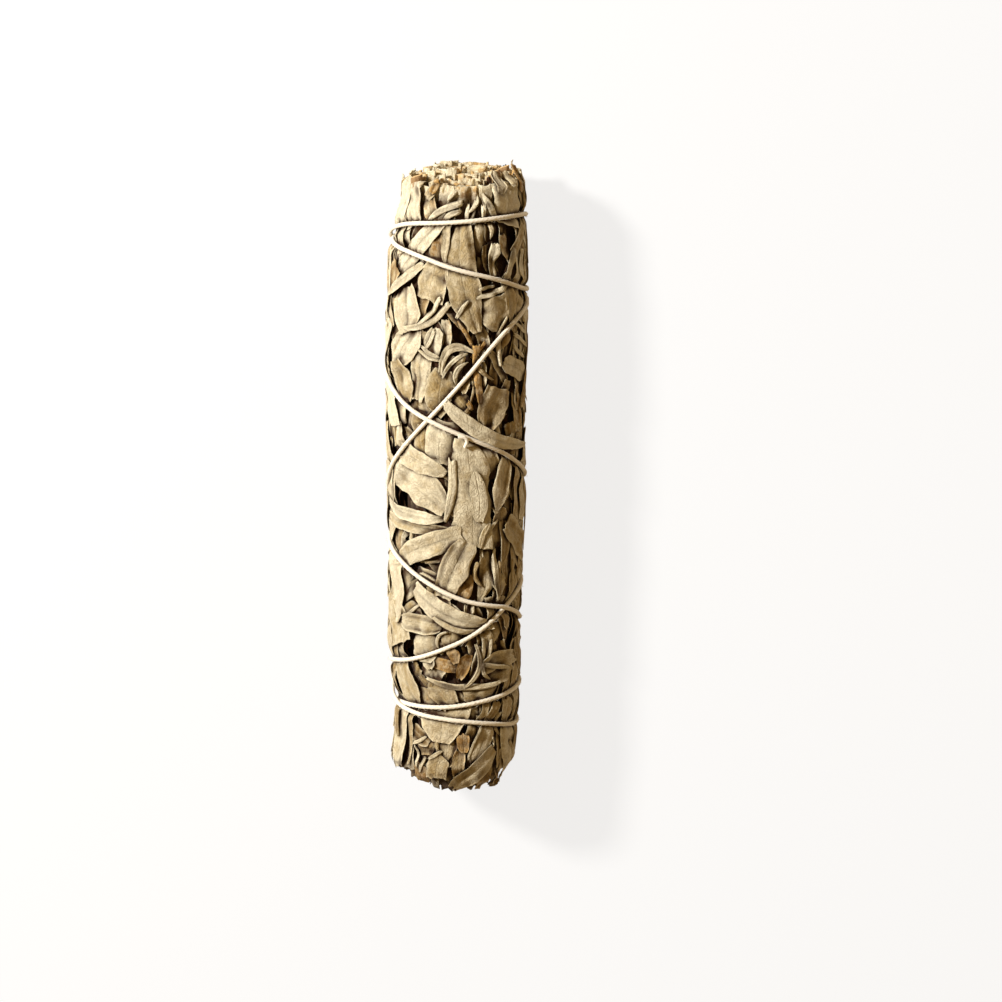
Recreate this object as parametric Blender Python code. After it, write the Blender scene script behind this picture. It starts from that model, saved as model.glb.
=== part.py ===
"""A tied bunch of dried sage, lying on its side.

Seven leafy sprigs stand side by side, six round one, each on its own woody
stem, and one length of twine is wound eight times round them and knotted.
The cut ends of the stems point to +Y and the ragged leaf tips to -Y, +Z is up,
and the origin is on the ground under the middle of the bunch.

Named values are in millimetres and degrees. A place on the bunch is given by
its turn, the angle round the length from straight up toward +X, by how far it
is along the length, and by how far it is sunk below the outline. The leaves
and the twine that show in the picture are placed by where they show there, in
picture units measured from the left and from the top.
"""
import math

import bmesh
import bpy
import numpy as np

MM = 0.001
SEED = 168

# The bunch
LENGTH = 160.0
AXIS_HEIGHT = 17.0      # the middle of the bunch over the ground
UPPER_SHARE = 0.97      # the height above the axis, as a share of half the width
UNDER_REACH = 17.55     # the outline below the axis, which the ground flattens
FULL_HALF_WIDTH = 16.0  # where the bunch is narrower, its underside rises with it
MEAN_RADIUS = 17.3      # turns the way round the bunch into degrees

# Its pictured edges: how far along, the left edge, the right edge
OUTLINE = (
    (-80.0, -12.6, 11.0),
    (-76.0, -15.4, 12.6),
    (-72.0, -16.8, 14.3),
    (-66.0, -16.4, 15.0),
    (-56.0, -16.0, 15.9),
    (-41.0, -17.8, 15.9),
    (-31.0, -17.7, 16.2),
    (-20.0, -17.3, 16.5),
    (-6.0, -17.6, 17.2),
    (19.0, -17.9, 17.4),
    (32.0, -18.1, 17.7),
    (45.0, -17.7, 17.9),
    (58.0, -17.0, 17.7),
    (64.0, -15.7, 17.5),
    (71.0, -13.8, 17.3),
    (80.0, -12.6, 16.6),
)

# The picture: its scale, where the axis and the middle of the length show, and
# how far the eye stands off the vertical toward the cut ends
UNITS_PER_MM = 3.96
PICTURE_AXIS = 457.0
PICTURE_MIDDLE = 477.0
VIEW_TILT = 10.0
VIEW_TILT_CHANGE = 5.0  # less of it at the cut ends, more of it at the tips
EDGE_LIMIT = 0.975      # the outermost place read from it, as a share of the half width

# The packed leaves inside
CORE_SUNK = 2.6
CORE_ENDS = (-66.5, 72.5)
CORE_ROUND = 18
CORE_ALONG = 8
CORE_ROUGH = (-0.15, 0.3)       # how unevenly its sides are sunk
CORE_END_SUNK = 2.2             # how much more its ends are
CORE_END_RAGGED = 1.6
CORE_STEP_RAGGED = 0.6

# Leaves
LAYER_SUNK = (1.75, 0.85, 0.0)  # low, middle and top leaves, at their middle
RIDGE = 0.28                    # the mid line stands over the edges
EDGE_TILT = 0.35                # one edge up and the other down
BLADE_DEPTH = 3.6               # how far a leaf goes into the packed leaves
FREE_DEPTH = 1.1                # how thick it is past their ends
THINNING = 4.0                  # the length over which it changes
EDGE_WAVE = 0.16
EDGE_SHIFT = 0.5                # how far an edge's points stray along it
LEAF_SWELL = (0.10, 0.81, 0.7)  # where the outline's arch starts, its span, its fullness
SHOWN_SPREAD = 1.06             # a pictured leaf is a little wider than what shows
SEGMENT_LENGTH = 8.5
FACETS_KEPT = 0.62

# Sprigs: the turn of each wall between them, and the wave of that wall
WALLS = (-82.0, -36.0, 18.0, 74.0, 142.0, 212.0)
WALL_WAVE = 5.0
WALL_SWAY = (0.4, 1.0)  # the shares of that wave that each bend may have
WALL_PITCH = 16.0
WALL_GAP = 0.4
HEART_RADIUS = 5.7
HEART_GAP = 0.5
OUTER_REACH = 30.0

# Stems, one in each sprig: turn, distance from the axis, radius, cut end,
# with the last one in the heart
STEMS = (
    (-56.0, 11.8, 1.50, 77.2),
    (-18.0, 11.2, 0.95, 75.6),
    (55.0, 12.0, 1.05, 78.6),
    (96.0, 11.9, 1.40, 78.8),
    (176.0, 11.0, 1.30, 77.6),
    (240.0, 11.8, 1.15, 76.4),
    (0.0, 0.0, 1.35, 76.8),
)
STEM_ROOT = -38.0
STEM_TAPER = 0.62
STEM_GAP = 0.4
STEM_GAP_SPREAD = 1.18  # a six-sided hole clears a six-sided stem on its flats too
STEM_BEND = 0.35
BEND_SHARES = (0.6, 1.0)
STEM_TURN = 0.3         # each stem's flats are turned on from the last stem's, in sides
STEM_SIDES = 6
STEM_POINTS = 6
HOLE_EXTRA = 0.6        # a hole is longer at its root, and runs out at the cut end
HOLE_OUT = 8.0

# Twine
TWINE_RADIUS = 0.58
TWINE_SUNK = 0.15
TWINE_STEP = 18.0
TWINE_LIFT = 1.62       # over another strand
LIFT_SPREAD = 0.8
KNOT_LIFT = 1.3
CROSSING_REACH = 2.6
CROSSING_SHARE = 0.35   # of the full lift, at that reach
GROOVE_RADIUS = 1.30
KNOT_TURN = 118.0
KNOT_SIZE = (1.45, 2.0, 1.35)
KNOT_OUT = 0.75         # from the two ends of the winding to its middle
TAIL_LENGTH = 5.0
TAIL_SHARES = (0.0, 0.35, 0.7, 1.0)
TAIL_DROP = 2.2
TAIL_ARCH = 0.35
TAIL_TAPER = 0.8
TWINE_SIDES = 6
GROOVE_SIDES = 4
GROOVE_TURN = 0.5
ACROSS = (0.31, 0.17, 0.93)     # a direction that no tube starts along
TWINE_OFF_GROUND = 0.12

# The twine on the pictured side, in the order of winding, right to left
TWINE_PASSES = (
    ((528, 304), (514, 321), (503, 332), (489, 348), (468, 378), (455, 392), (431, 418), (392, 465)),
    ((520, 586), (509, 602), (498, 618), (485, 629), (459, 644), (434, 654), (408, 661), (392, 659)),
    ((520, 684), (504, 695), (485, 701), (459, 707), (429, 708), (397, 701)),
    ((519, 724), (495, 724), (459, 721), (421, 715), (397, 701)),
    ((520, 617), (507, 605), (478, 606), (455, 599), (435, 588), (417, 575), (400, 561), (391, 545)),
    ((528, 471), (511, 456), (489, 446), (466, 437), (441, 426), (424, 416), (400, 398), (385, 376)),
    ((530, 291), (490, 277), (448, 268), (430, 258), (394, 242)),
    ((527, 213), (490, 219), (455, 223), (410, 223), (397, 226)),
)

# After each pass, the twine round the far side: turn, how far along
TWINE_RETURNS = (
    ((235.0, -12.0), (180.0, -19.5)),
    ((235.0, -49.0), (180.0, -50.5)),
    ((235.0, -58.8), (180.0, -60.0)),
    ((235.0, -49.5), (180.0, -42.0)),
    ((235.0, -13.5), (180.0, -7.5)),
    ((235.0, 33.0), (180.0, 38.5), (150.0, 43.0), (118.0, 48.2)),
    ((235.0, 61.5), (180.0, 63.0)),
    ((235.0, 58.5), (180.0, 52.0), (150.0, 50.4), (136.0, 48.8), (118.0, 43.0)),
)
TWINE_START_ALONG = 45.9

# The broader leaves that show: one end, the other end, width, sag of the mid
# line to the left of its way, layer
FRONT_LEAVES = (
    (414, 174, 415, 224, 15, 0, 1),
    (446, 178, 437, 214, 20, 0, 0),
    (462, 172, 466, 206, 13, 2, 1),
    (484, 174, 480, 212, 15, -2, 1),
    (508, 182, 510, 224, 21, 0, 1),
    (521, 170, 521, 222, 11, 0, 0),
    (403, 220, 401, 254, 12, 0, 1),
    (447, 216, 394, 288, 17, 2, 2),
    (461, 224, 478, 332, 29, -5, 1),
    (484, 224, 488, 276, 14, 0, 0),
    (497, 244, 496, 286, 11, 0, 1),
    (506, 222, 513, 268, 15, 0, 0),
    (434, 262, 430, 301, 27, 0, 0),
    (405, 288, 409, 330, 24, 0, 1),
    (459, 298, 404, 329, 12, 8, 2),
    (493, 290, 499, 332, 26, 0, 0),
    (392, 296, 397, 356, 11, 0, 0),
    (420, 326, 397, 363, 22, 0, 1),
    (437, 328, 434, 361, 16, 0, 0),
    (446, 374, 480, 350, 8, -22, 2),
    (512, 330, 491, 352, 13, 0, 0),
    (397, 362, 410, 402, 18, 0, 1),
    (421, 346, 421, 400, 16, 0, 1),
    (443, 370, 436, 416, 24, 0, 1),
    (396, 392, 401, 424, 18, 0, 1),
    (401, 422, 400, 450, 9, 0, 1),
    (446, 402, 522, 443, 13, 6, 2),
    (487, 396, 497, 431, 27, 0, 1),
    (463, 352, 456, 390, 12, 0, 1),
    (443, 422, 441, 464, 30, 0, 1),
    (420, 424, 424, 458, 15, 0, 0),
    (503, 366, 526, 375, 13, 0, 1),
    (508, 380, 504, 414, 11, 0, 1),
    (402, 450, 446, 476, 18, 3, 2),
    (393, 466, 448, 508, 30, 6, 1),
    (386, 508, 458, 531, 17, 5, 1),
    (453, 458, 446, 521, 11, 2, 2),
    (471, 438, 474, 548, 32, 0, 1),
    (479, 466, 463, 524, 15, 3, 2),
    (507, 456, 494, 512, 16, 0, 1),
    (517, 466, 514, 570, 11, 2, 1),
    (501, 508, 497, 550, 17, 0, 0),
    (398, 524, 396, 552, 14, 0, 0),
    (463, 537, 394, 560, 22, 2, 2),
    (468, 542, 441, 598, 26, 0, 2),
    (487, 546, 481, 604, 14, -7, 1),
    (406, 566, 391, 598, 20, 0, 1),
    (430, 584, 448, 608, 16, 0, 1),
    (391, 592, 392, 644, 16, 0, 1),
    (515, 570, 513, 600, 11, 0, 1),
    (471, 572, 460, 602, 15, 0, 0),
    (418, 590, 496, 625, 17, 5, 2),
    (401, 620, 440, 629, 20, 2, 2),
    (399, 608, 404, 644, 22, 0, 1),
    (424, 632, 424, 664, 27, 0, 1),
    (430, 660, 474, 674, 19, 7, 1),
    (479, 666, 514, 656, 15, -6, 2),
    (396, 662, 415, 706, 19, 0, 2),
    (513, 636, 515, 692, 11, 0, 0),
    (444, 684, 447, 710, 26, 0, 1),
    (499, 690, 459, 704, 14, 0, 0),
    (492, 713, 440, 712, 13, 0, 0),
    (418, 725, 472, 730, 25, 4, 2),
    (404, 704, 396, 774, 15, 0, 1),
    (491, 722, 470, 768, 18, 0, 2),
    (495, 758, 454, 791, 18, 0, 1),
    (476, 722, 466, 740, 12, 0, 1),
    (440, 754, 436, 780, 24, 0, 1),
    (424, 734, 428, 758, 17, 0, 0),
    (448, 738, 445, 762, 15, 0, 1),
    (507, 722, 506, 774, 16, 0, 1),
)

# Broad leaves that the bunch lies on: turn, from and to along it, width
REST_LEAVES = (
    (181.0, 76.0, 55.0, 8.4),
    (182.0, 50.0, 24.0, 9.0),
    (183.0, 19.0, -14.0, 9.4),
    (181.0, -22.0, -46.0, 9.0),
    (183.0, -52.0, -73.0, 8.4),
)
REST_SUNK = -0.35
REST_WAVE = 0.08

# Leaf tips in the middle of the ragged end: out from the axis, roll, tip
HEART_TIPS = ((1.7, 24.0, -78.2), (2.2, 152.0, -76.6), (1.9, 268.0, -79.4))
HEART_TIP_ROOT = -60.0
HEART_TIP_WIDTHS = (5.0, 6.2, 2.2)      # at the root, the middle and the tip

# Leaf tips of the other sprigs, in two rings
TIP_DEPTHS = (4.6, 8.4)
TIP_ROOT = -62.0
TIP_END = (-80.35, -75.85)
TIP_STAGGER = 0.95      # how much shorter the inner ring is
TIP_LEAN = 9.0
TIP_STRAY = 3.0
TIP_WIDTHS = (4.6, 6.6)
TIP_BOW = 1.0
TIP_TILT = 0.9
TIP_SEGMENTS = 3

# Cut edges of leaves at the stem end: their rings, and how they wind in and out
CUT_RINGS = (8.6, 12.2)
CUT_HEART_RING = 3.6
CUT_HEART_TURNS = (60.0, 180.0, 300.0)
CUT_HEART_SPREAD = 75.0
CUT_MARGIN = 13.0       # kept free between two sprigs
CUT_POINTS = 5
CUT_HALF_THICK = 0.42
CUT_ROOT = 68.0
CUT_TOP = (76.2, 80.5)
CUT_SWAY = (0.375, 0.9)

# Leaves on the sides that the picture doesn't show
FAR_COLUMNS = (86.0, 110.0, 134.0, 158.0, 205.0, 229.0, 253.0, 277.0)
FAR_PITCH = 29.0
FAR_WIDTHS = (6.2, 8.8)
FAR_LENGTHS = (24.0, 33.0)
FAR_SLANT = 36.0        # the turn from root to tip, at most
FAR_START = (72.5, 78.5)
FAR_STAGGER = 8.0
FAR_ENDS = (-68.0, -79.0)   # the last root, the last tip
FAR_STRAY = (4.0, 3.0)      # round the bunch and along it
FAR_BOW = 1.6
FAR_LOW_SUNK = 0.25         # how much lower the ones near the ground lie


def tidy_scene():
    """Remove whatever the file opened with."""
    for item in list(bpy.data.objects):
        bpy.data.objects.remove(item, do_unlink=True)


def material(name, colour, roughness):
    """A plain surface of one colour."""
    made = bpy.data.materials.new(name)
    made.use_nodes = True
    shader = made.node_tree.nodes["Principled BSDF"]
    shader.inputs["Base Color"].default_value = (*colour, 1.0)
    shader.inputs["Roughness"].default_value = roughness
    shader.inputs["Metallic"].default_value = 0.0
    return made


def mesh_object(name, vertices, faces):
    """An object from vertices in millimetres, with its faces turned outward."""
    mesh = bpy.data.meshes.new(name)
    mesh.from_pydata([tuple(v * MM for v in vertex) for vertex in vertices], [], faces)
    shape = bmesh.new()
    shape.from_mesh(mesh)
    bmesh.ops.recalc_face_normals(shape, faces=shape.faces)
    shape.to_mesh(mesh)
    shape.free()
    made = bpy.data.objects.new(name, mesh)
    bpy.context.scene.collection.objects.link(made)
    return made


def section(along):
    """The middle and the half width of the outline at a place along the bunch."""
    stations = [row[0] for row in OUTLINE]
    left = np.interp(along, stations, [row[1] for row in OUTLINE])
    right = np.interp(along, stations, [row[2] for row in OUTLINE])
    return (left + right) / 2, (right - left) / 2


def on_bunch(turn, along, sunk):
    """The point at a turn and a place along the bunch, sunk below its outline."""
    middle, half = section(along)
    angle = math.radians(turn)
    reach = half * UPPER_SHARE if math.cos(angle) > 0 else UNDER_REACH + min(half - FULL_HALF_WIDTH, 0.0)
    x = middle + (half - sunk) * math.sin(angle)
    z = AXIS_HEIGHT + (reach - sunk) * math.cos(angle)
    return (float(x), along, float(z))


def from_picture(across, down):
    """The turn and the place along the bunch of a point that shows in the picture."""
    x = (across - PICTURE_AXIS) / UNITS_PER_MM
    up = (PICTURE_MIDDLE - down) / UNITS_PER_MM
    tilt = math.radians(VIEW_TILT - VIEW_TILT_CHANGE * up / (LENGTH / 2))
    along = up
    turn = 0.0
    for _ in range(4):
        middle, half = section(along)
        turn = math.asin(max(-EDGE_LIMIT, min(EDGE_LIMIT, float((x - middle) / half))))
        height = half * UPPER_SHARE * math.cos(turn)
        along = float((up + height * math.sin(tilt)) / math.cos(tilt))
    return math.degrees(turn), along


def blade_depth(along):
    """How far a leaf goes in: deep over the packed leaves, thin past their ends."""
    past = max(CORE_ENDS[0] + 1.0 - along, along - CORE_ENDS[1] + 1.0, 0.0)
    share = min(past / THINNING, 1.0)
    return BLADE_DEPTH + (FREE_DEPTH - BLADE_DEPTH) * share


def blade(name, root, tip, width, bow, sunk, rng, tilt=None, segments=None, wave=EDGE_WAVE, ridged=False):
    """One leaf laid on the bunch, from its root to its tip, each (turn, along).

    Its outline is widest past the middle, waved and torn by a few per cent, and
    drawn in at both ends. One edge is higher, and a ridged leaf's mid line
    stands up.
    """
    start = np.array([math.radians(root[0]) * MEAN_RADIUS, root[1]])
    end = np.array([math.radians(tip[0]) * MEAN_RADIUS, tip[1]])
    length = float(np.linalg.norm(end - start))
    way = (end - start) / length
    side = np.array([-way[1], way[0]])
    segments = segments or max(2, min(4, round(length / SEGMENT_LENGTH)))
    tilt = rng.uniform(-EDGE_TILT, EDGE_TILT) if tilt is None else tilt
    lines = (1, 0, -1) if ridged else (1, -1)
    first, span, fullness = LEAF_SWELL
    rows = []
    for step in range(segments + 1):
        share = step / segments
        centre = start + way * length * share + side * bow * 4 * share * (1 - share)
        swell = math.sin(math.pi * (first + span * share)) ** fullness
        row = []
        for edge in lines:
            reach = edge * width / 2 * swell * (1 + rng.uniform(-wave, wave))
            place = centre + side * reach + way * edge * edge * rng.uniform(-EDGE_SHIFT, EDGE_SHIFT)
            along = float(place[1])
            turn = math.degrees(place[0] / MEAN_RADIUS)
            top = sunk - RIDGE if edge == 0 else sunk + edge * tilt
            row.append((turn, along, top))
        upper = [on_bunch(turn, along, top) for turn, along, top in row]
        lower = [on_bunch(turn, along, top + blade_depth(along)) for turn, along, top in reversed(row)]
        rows.append(upper + lower)
    return loft(name, rows)


def loft(name, rows, crossed=()):
    """A closed solid through rows of points, each row going once round it.

    A strip in crossed is split into triangles along its other diagonal.
    """
    count = len(rows[0])
    faces = []
    for row in range(len(rows) - 1):
        a = row * count
        b = a + count
        for one in range(count):
            other = (one + 1) % count
            if one in crossed:
                faces.append((a + one, a + other, b + one))
                faces.append((a + other, b + other, b + one))
            else:
                faces.append((a + one, a + other, b + other))
                faces.append((a + one, b + other, b + one))
    faces.append(tuple(range(count)))
    last = (len(rows) - 1) * count
    faces.append(tuple(reversed(range(last, last + count))))
    return mesh_object(name, [point for row in rows for point in row], faces)


def front_blades(rng):
    """The leaves that show in the picture."""
    made = []
    for index, (x1, y1, x2, y2, width, bow, layer) in enumerate(FRONT_LEAVES):
        made.append(blade(
            f"front_{index}",
            from_picture(x1, y1),
            from_picture(x2, y2),
            width / UNITS_PER_MM * SHOWN_SPREAD,
            bow / UNITS_PER_MM,
            LAYER_SUNK[layer],
            rng,
            ridged=layer == 2,
        ))
    return made


def far_leaves(rng):
    """Where the leaves of the other sides lie: root, tip, width, bow and layer."""
    laid = []
    for column, turn in enumerate(FAR_COLUMNS):
        along = rng.uniform(*FAR_START) - FAR_STAGGER * (column % 2)
        while along > FAR_ENDS[0]:
            long = rng.uniform(*FAR_LENGTHS)
            slant = rng.uniform(-1.0, 1.0) * FAR_SLANT
            root = (turn + rng.uniform(-FAR_STRAY[0], FAR_STRAY[0]) - slant / 2, along)
            tip = (root[0] + slant, max(along - long, FAR_ENDS[1]))
            bow = rng.uniform(-FAR_BOW, FAR_BOW)
            laid.append((root, tip, rng.uniform(*FAR_WIDTHS), bow, int(rng.integers(0, 3))))
            along -= FAR_PITCH + rng.uniform(-FAR_STRAY[1], FAR_STRAY[1])
    return laid


def near_ground(turn):
    """Whether a turn is close to straight down."""
    return abs((turn % 360.0) - 180.0) < 34.0


def far_blades(rng):
    """The leaves of the other sides, the lowest ones kept clear of the ground."""
    made = []
    for index, (root, tip, width, bow, layer) in enumerate(far_leaves(rng)):
        low = near_ground(root[0]) or near_ground(tip[0])
        sunk = LAYER_SUNK[min(layer, 1) if low else layer]
        made.append(blade(f"far_{index}", root, tip, width, bow, sunk + FAR_LOW_SUNK * low, rng))
    return made


def rest_blades(rng):
    """The broad leaves under the bunch, which the ground presses flat."""
    made = []
    for index, (turn, start, end, width) in enumerate(REST_LEAVES):
        made.append(blade(
            f"rest_{index}", (turn, start), (turn, end), width, 0.0, REST_SUNK, rng, tilt=0.0, wave=REST_WAVE,
        ))
    return made


def tip_blades(rng):
    """Leaf tips that stand out of the packed leaves at the ragged end."""
    made = []
    for wall, after in zip(WALLS, (*WALLS[1:], WALLS[0] + 360.0)):
        turn = (wall + after) / 2
        for ring, depth in enumerate(TIP_DEPTHS):
            lean = rng.uniform(-TIP_LEAN, TIP_LEAN)
            tip = rng.uniform(*TIP_END) + TIP_STAGGER * ring
            made.append(blade(
                f"tip_{len(made)}",
                (turn + lean / 2 + rng.uniform(-TIP_STRAY, TIP_STRAY), TIP_ROOT),
                (turn - lean, tip),
                rng.uniform(*TIP_WIDTHS),
                rng.uniform(-TIP_BOW, TIP_BOW),
                depth,
                rng,
                tilt=rng.uniform(-TIP_TILT, TIP_TILT),
                segments=TIP_SEGMENTS,
            ))
    for shift, roll, tip in HEART_TIPS:
        made.append(heart_tip(f"heart_{len(made)}", shift, roll, tip))
    return made


def heart_tip(name, shift, roll, tip):
    """A leaf tip in the middle of the ragged end, shifted sideways and rolled."""
    angle = math.radians(roll)
    alongs = (HEART_TIP_ROOT, (tip + HEART_TIP_ROOT) / 2, tip)
    rows = []
    for along, width in zip(alongs, HEART_TIP_WIDTHS):
        half = width / 2
        row = []
        for across, deep in ((-half, 0.0), (half, 0.0), (half, FREE_DEPTH), (-half, FREE_DEPTH)):
            out = shift + deep
            row.append((
                across * math.cos(angle) + out * math.sin(angle),
                along,
                AXIS_HEIGHT - across * math.sin(angle) + out * math.cos(angle),
            ))
        rows.append(row)
    return loft(name, rows)


def cut_edge(name, middle_turn, spread, radius, rng):
    """The cut edge of a leaf at the stem end: a thin wall that winds in and out."""
    rows = []
    for step in range(CUT_POINTS):
        turn = middle_turn + spread * (step / (CUT_POINTS - 1) - 0.5)
        out = radius + (1 if step % 2 else -1) * rng.uniform(*CUT_SWAY)
        top = rng.uniform(*CUT_TOP)
        angle = math.radians(turn)
        inner = out - CUT_HALF_THICK
        outer = out + CUT_HALF_THICK
        row = []
        for reach, along in ((inner, CUT_ROOT), (outer, CUT_ROOT), (outer, top), (inner, top)):
            x = float(section(along)[0]) + reach * math.sin(angle)
            row.append((x, along, AXIS_HEIGHT + reach * math.cos(angle)))
        rows.append(row)
    return loft(name, rows)


def cut_edges(rng):
    """The cut leaf edges of every sprig and of the heart."""
    made = []
    for wall, after in zip(WALLS, (*WALLS[1:], WALLS[0] + 360.0)):
        middle = (wall + after) / 2
        spread = (after - wall) - CUT_MARGIN
        for radius in CUT_RINGS:
            made.append(cut_edge(f"cut_{len(made)}", middle, spread, radius, rng))
    for turn in CUT_HEART_TURNS:
        made.append(cut_edge(f"cut_{len(made)}", turn, CUT_HEART_SPREAD, CUT_HEART_RING, rng))
    return made


def core(rng):
    """The packed leaves that the others stand out of, with rounded ends."""
    alongs = np.linspace(CORE_ENDS[0], CORE_ENDS[1], CORE_ALONG)
    vertices = []
    for row, along in enumerate(alongs):
        end = row in (0, CORE_ALONG - 1)
        for column in range(CORE_ROUND):
            turn = 360.0 * (column + 0.5 * (row % 2)) / CORE_ROUND
            reach = CORE_END_RAGGED if end else CORE_STEP_RAGGED
            ragged = rng.uniform(-reach, reach)
            sunk = CORE_SUNK + (CORE_END_SUNK if end else rng.uniform(*CORE_ROUGH))
            vertices.append(on_bunch(turn, float(along) + ragged, sunk))
    faces = []
    for row in range(CORE_ALONG - 1):
        for column in range(CORE_ROUND):
            a = row * CORE_ROUND + column
            b = row * CORE_ROUND + (column + 1) % CORE_ROUND
            c = a + CORE_ROUND
            d = b + CORE_ROUND
            if row % 2:
                faces.append((a, b, d))
                faces.append((a, d, c))
            else:
                faces.append((a, b, c))
                faces.append((b, d, c))
    for row, along in ((0, CORE_ENDS[0]), (CORE_ALONG - 1, CORE_ENDS[1])):
        centre = len(vertices)
        vertices.append((0.0, along, AXIS_HEIGHT))
        for column in range(CORE_ROUND):
            a = row * CORE_ROUND + column
            b = row * CORE_ROUND + (column + 1) % CORE_ROUND
            faces.append((a, b, centre))
    return mesh_object("core", vertices, faces)


def tube(name, path, radii, sides, turned=0.0):
    """A closed tube of a few sides along a path of points."""
    path = np.array(path, dtype=float)
    ways = np.gradient(path, axis=0)
    ways /= np.linalg.norm(ways, axis=1)[:, None]
    across = np.cross(ways[0], ACROSS)
    across /= np.linalg.norm(across)
    rows = []
    for point, way, radius in zip(path, ways, radii):
        across = across - way * float(np.dot(across, way))
        across /= np.linalg.norm(across)
        third = np.cross(way, across)
        row = []
        for side in range(sides):
            angle = 2 * math.pi * (side + turned) / sides
            place = point + radius * (math.cos(angle) * across + math.sin(angle) * third)
            row.append(tuple(float(v) for v in place))
        rows.append(row)
    return loft(name, rows)


def twine_route():
    """The winding: how far along the twine is at each turn, evenly stepped.

    The turn falls from the knot by a full circle a pass, so the route is one
    function of the turn.
    """
    turns = [KNOT_TURN]
    alongs = [TWINE_START_ALONG]
    for index, (shown, hidden) in enumerate(zip(TWINE_PASSES, TWINE_RETURNS)):
        base = -360.0 * index
        for across, down in shown:
            turn, along = from_picture(across, down)
            turns.append(base + turn)
            alongs.append(along)
        for turn, along in hidden:
            turns.append(base + turn - 360.0)
            alongs.append(along)
    total = 360.0 * len(TWINE_PASSES)
    stepped = np.linspace(KNOT_TURN, KNOT_TURN - total, int(total / TWINE_STEP) + 1)
    fine = np.interp(-stepped, -np.array(turns), np.array(alongs))
    eased = fine.copy()
    eased[1:-1] = 0.25 * fine[:-2] + 0.5 * fine[1:-1] + 0.25 * fine[2:]
    return stepped, eased


def twine_lifts(turns, alongs):
    """How far each point rises to pass over strands that were wound before it."""
    around = round(360.0 / TWINE_STEP)
    lifts = np.zeros(len(turns))
    for one in range(around, len(turns)):
        for earlier in range(one % around or around, one - around + 1, around):
            before = alongs[one - 1] - alongs[earlier - 1]
            now = alongs[one] - alongs[earlier]
            if before * now <= 0 or abs(now) < CROSSING_REACH:
                near = 1.0 if before * now <= 0 else 1 - abs(now) / CROSSING_REACH
                base = lifts[earlier] + TWINE_LIFT
                lifts[one] = max(lifts[one], base * min(1.0, CROSSING_SHARE + near))
    spread = lifts.copy()
    spread[1:] = np.maximum(spread[1:], LIFT_SPREAD * lifts[:-1])
    spread[:-1] = np.maximum(spread[:-1], LIFT_SPREAD * lifts[1:])
    spread[-1] = min(spread[-1], KNOT_LIFT)
    return spread


def twine_path():
    """The middle line of the twine, pressed into the leaves and off the ground."""
    turns, alongs = twine_route()
    lifts = twine_lifts(turns, alongs)
    path = []
    for turn, along, lift in zip(turns, alongs, lifts):
        x, y, z = on_bunch(float(turn), float(along), TWINE_SUNK - float(lift))
        path.append((x, y, max(z, TWINE_RADIUS + TWINE_OFF_GROUND)))
    return path


def combine(target, tools, operation):
    """Join or cut a target by each tool, and remove the tools."""
    group = bpy.data.collections.new(f"{target.name}_tools")
    bpy.context.scene.collection.children.link(group)
    for tool in tools:
        bpy.context.scene.collection.objects.unlink(tool)
        group.objects.link(tool)
    step = target.modifiers.new(operation.lower(), "BOOLEAN")
    step.operation = operation
    step.solver = "MANIFOLD"
    step.operand_type = "COLLECTION"
    step.collection = group
    apply_modifiers(target)
    for tool in tools:
        bpy.data.objects.remove(tool, do_unlink=True)
    bpy.data.collections.remove(group)


def apply_modifiers(target):
    """Make what the modifiers give the object's own mesh."""
    bpy.context.view_layer.update()
    graph = bpy.context.evaluated_depsgraph_get()
    result = bpy.data.meshes.new_from_object(target.evaluated_get(graph))
    target.modifiers.clear()
    target.data = result


def thin_out(target):
    """Drop the smallest facets, which leaves leave where they cross."""
    step = target.modifiers.new("thin", "DECIMATE")
    step.decimate_type = "COLLAPSE"
    step.ratio = FACETS_KEPT
    apply_modifiers(target)


def copy_of(source, name):
    """A copy of an object with a mesh of its own."""
    made = bpy.data.objects.new(name, source.data.copy())
    bpy.context.scene.collection.objects.link(made)
    return made


def wall_line(index):
    """Where a wall between two sprigs runs: its turn at steps along the bunch."""
    rng = np.random.default_rng(SEED + 7 * index)
    alongs = np.arange(-LENGTH / 2 - 4.0, LENGTH / 2 + 12.0, WALL_PITCH)
    sway = np.where(np.arange(len(alongs)) % 2, 1.0, -1.0) * rng.uniform(*WALL_SWAY, len(alongs))
    return alongs, WALLS[index] + WALL_WAVE * sway


def sprig_space(index):
    """The space between two walls, from round the heart to outside the bunch."""
    alongs, first = wall_line(index)
    after = (index + 1) % len(WALLS)
    _, second = wall_line(after)
    second = second + (360.0 if after == 0 else 0.0)
    inner = HEART_RADIUS + HEART_GAP
    rows = []
    for along, low, high in zip(alongs, first, second):
        row = []
        for turn, shift, reach in (
            (low, WALL_GAP / 2, OUTER_REACH),
            ((low + high) / 2, 0.0, OUTER_REACH / math.cos(math.radians(high - low) / 2)),
            (high, -WALL_GAP / 2, OUTER_REACH),
            (high, -WALL_GAP / 2, inner),
            ((low + high) / 2, 0.0, inner),
            (low, WALL_GAP / 2, inner),
        ):
            angle = math.radians(turn)
            row.append((
                reach * math.sin(angle) + shift * math.cos(angle),
                float(along),
                AXIS_HEIGHT + reach * math.cos(angle) - shift * math.sin(angle),
            ))
        rows.append(row)
    return loft(f"space_{index}", rows, crossed=(2,))


def heart_space():
    """The space of the sprig in the middle."""
    ends = [(0.0, along, AXIS_HEIGHT) for along in (-LENGTH, 0.0, LENGTH)]
    return tube("heart_space", ends, [HEART_RADIUS - HEART_GAP] * len(ends), 8, turned=0.25)


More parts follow.
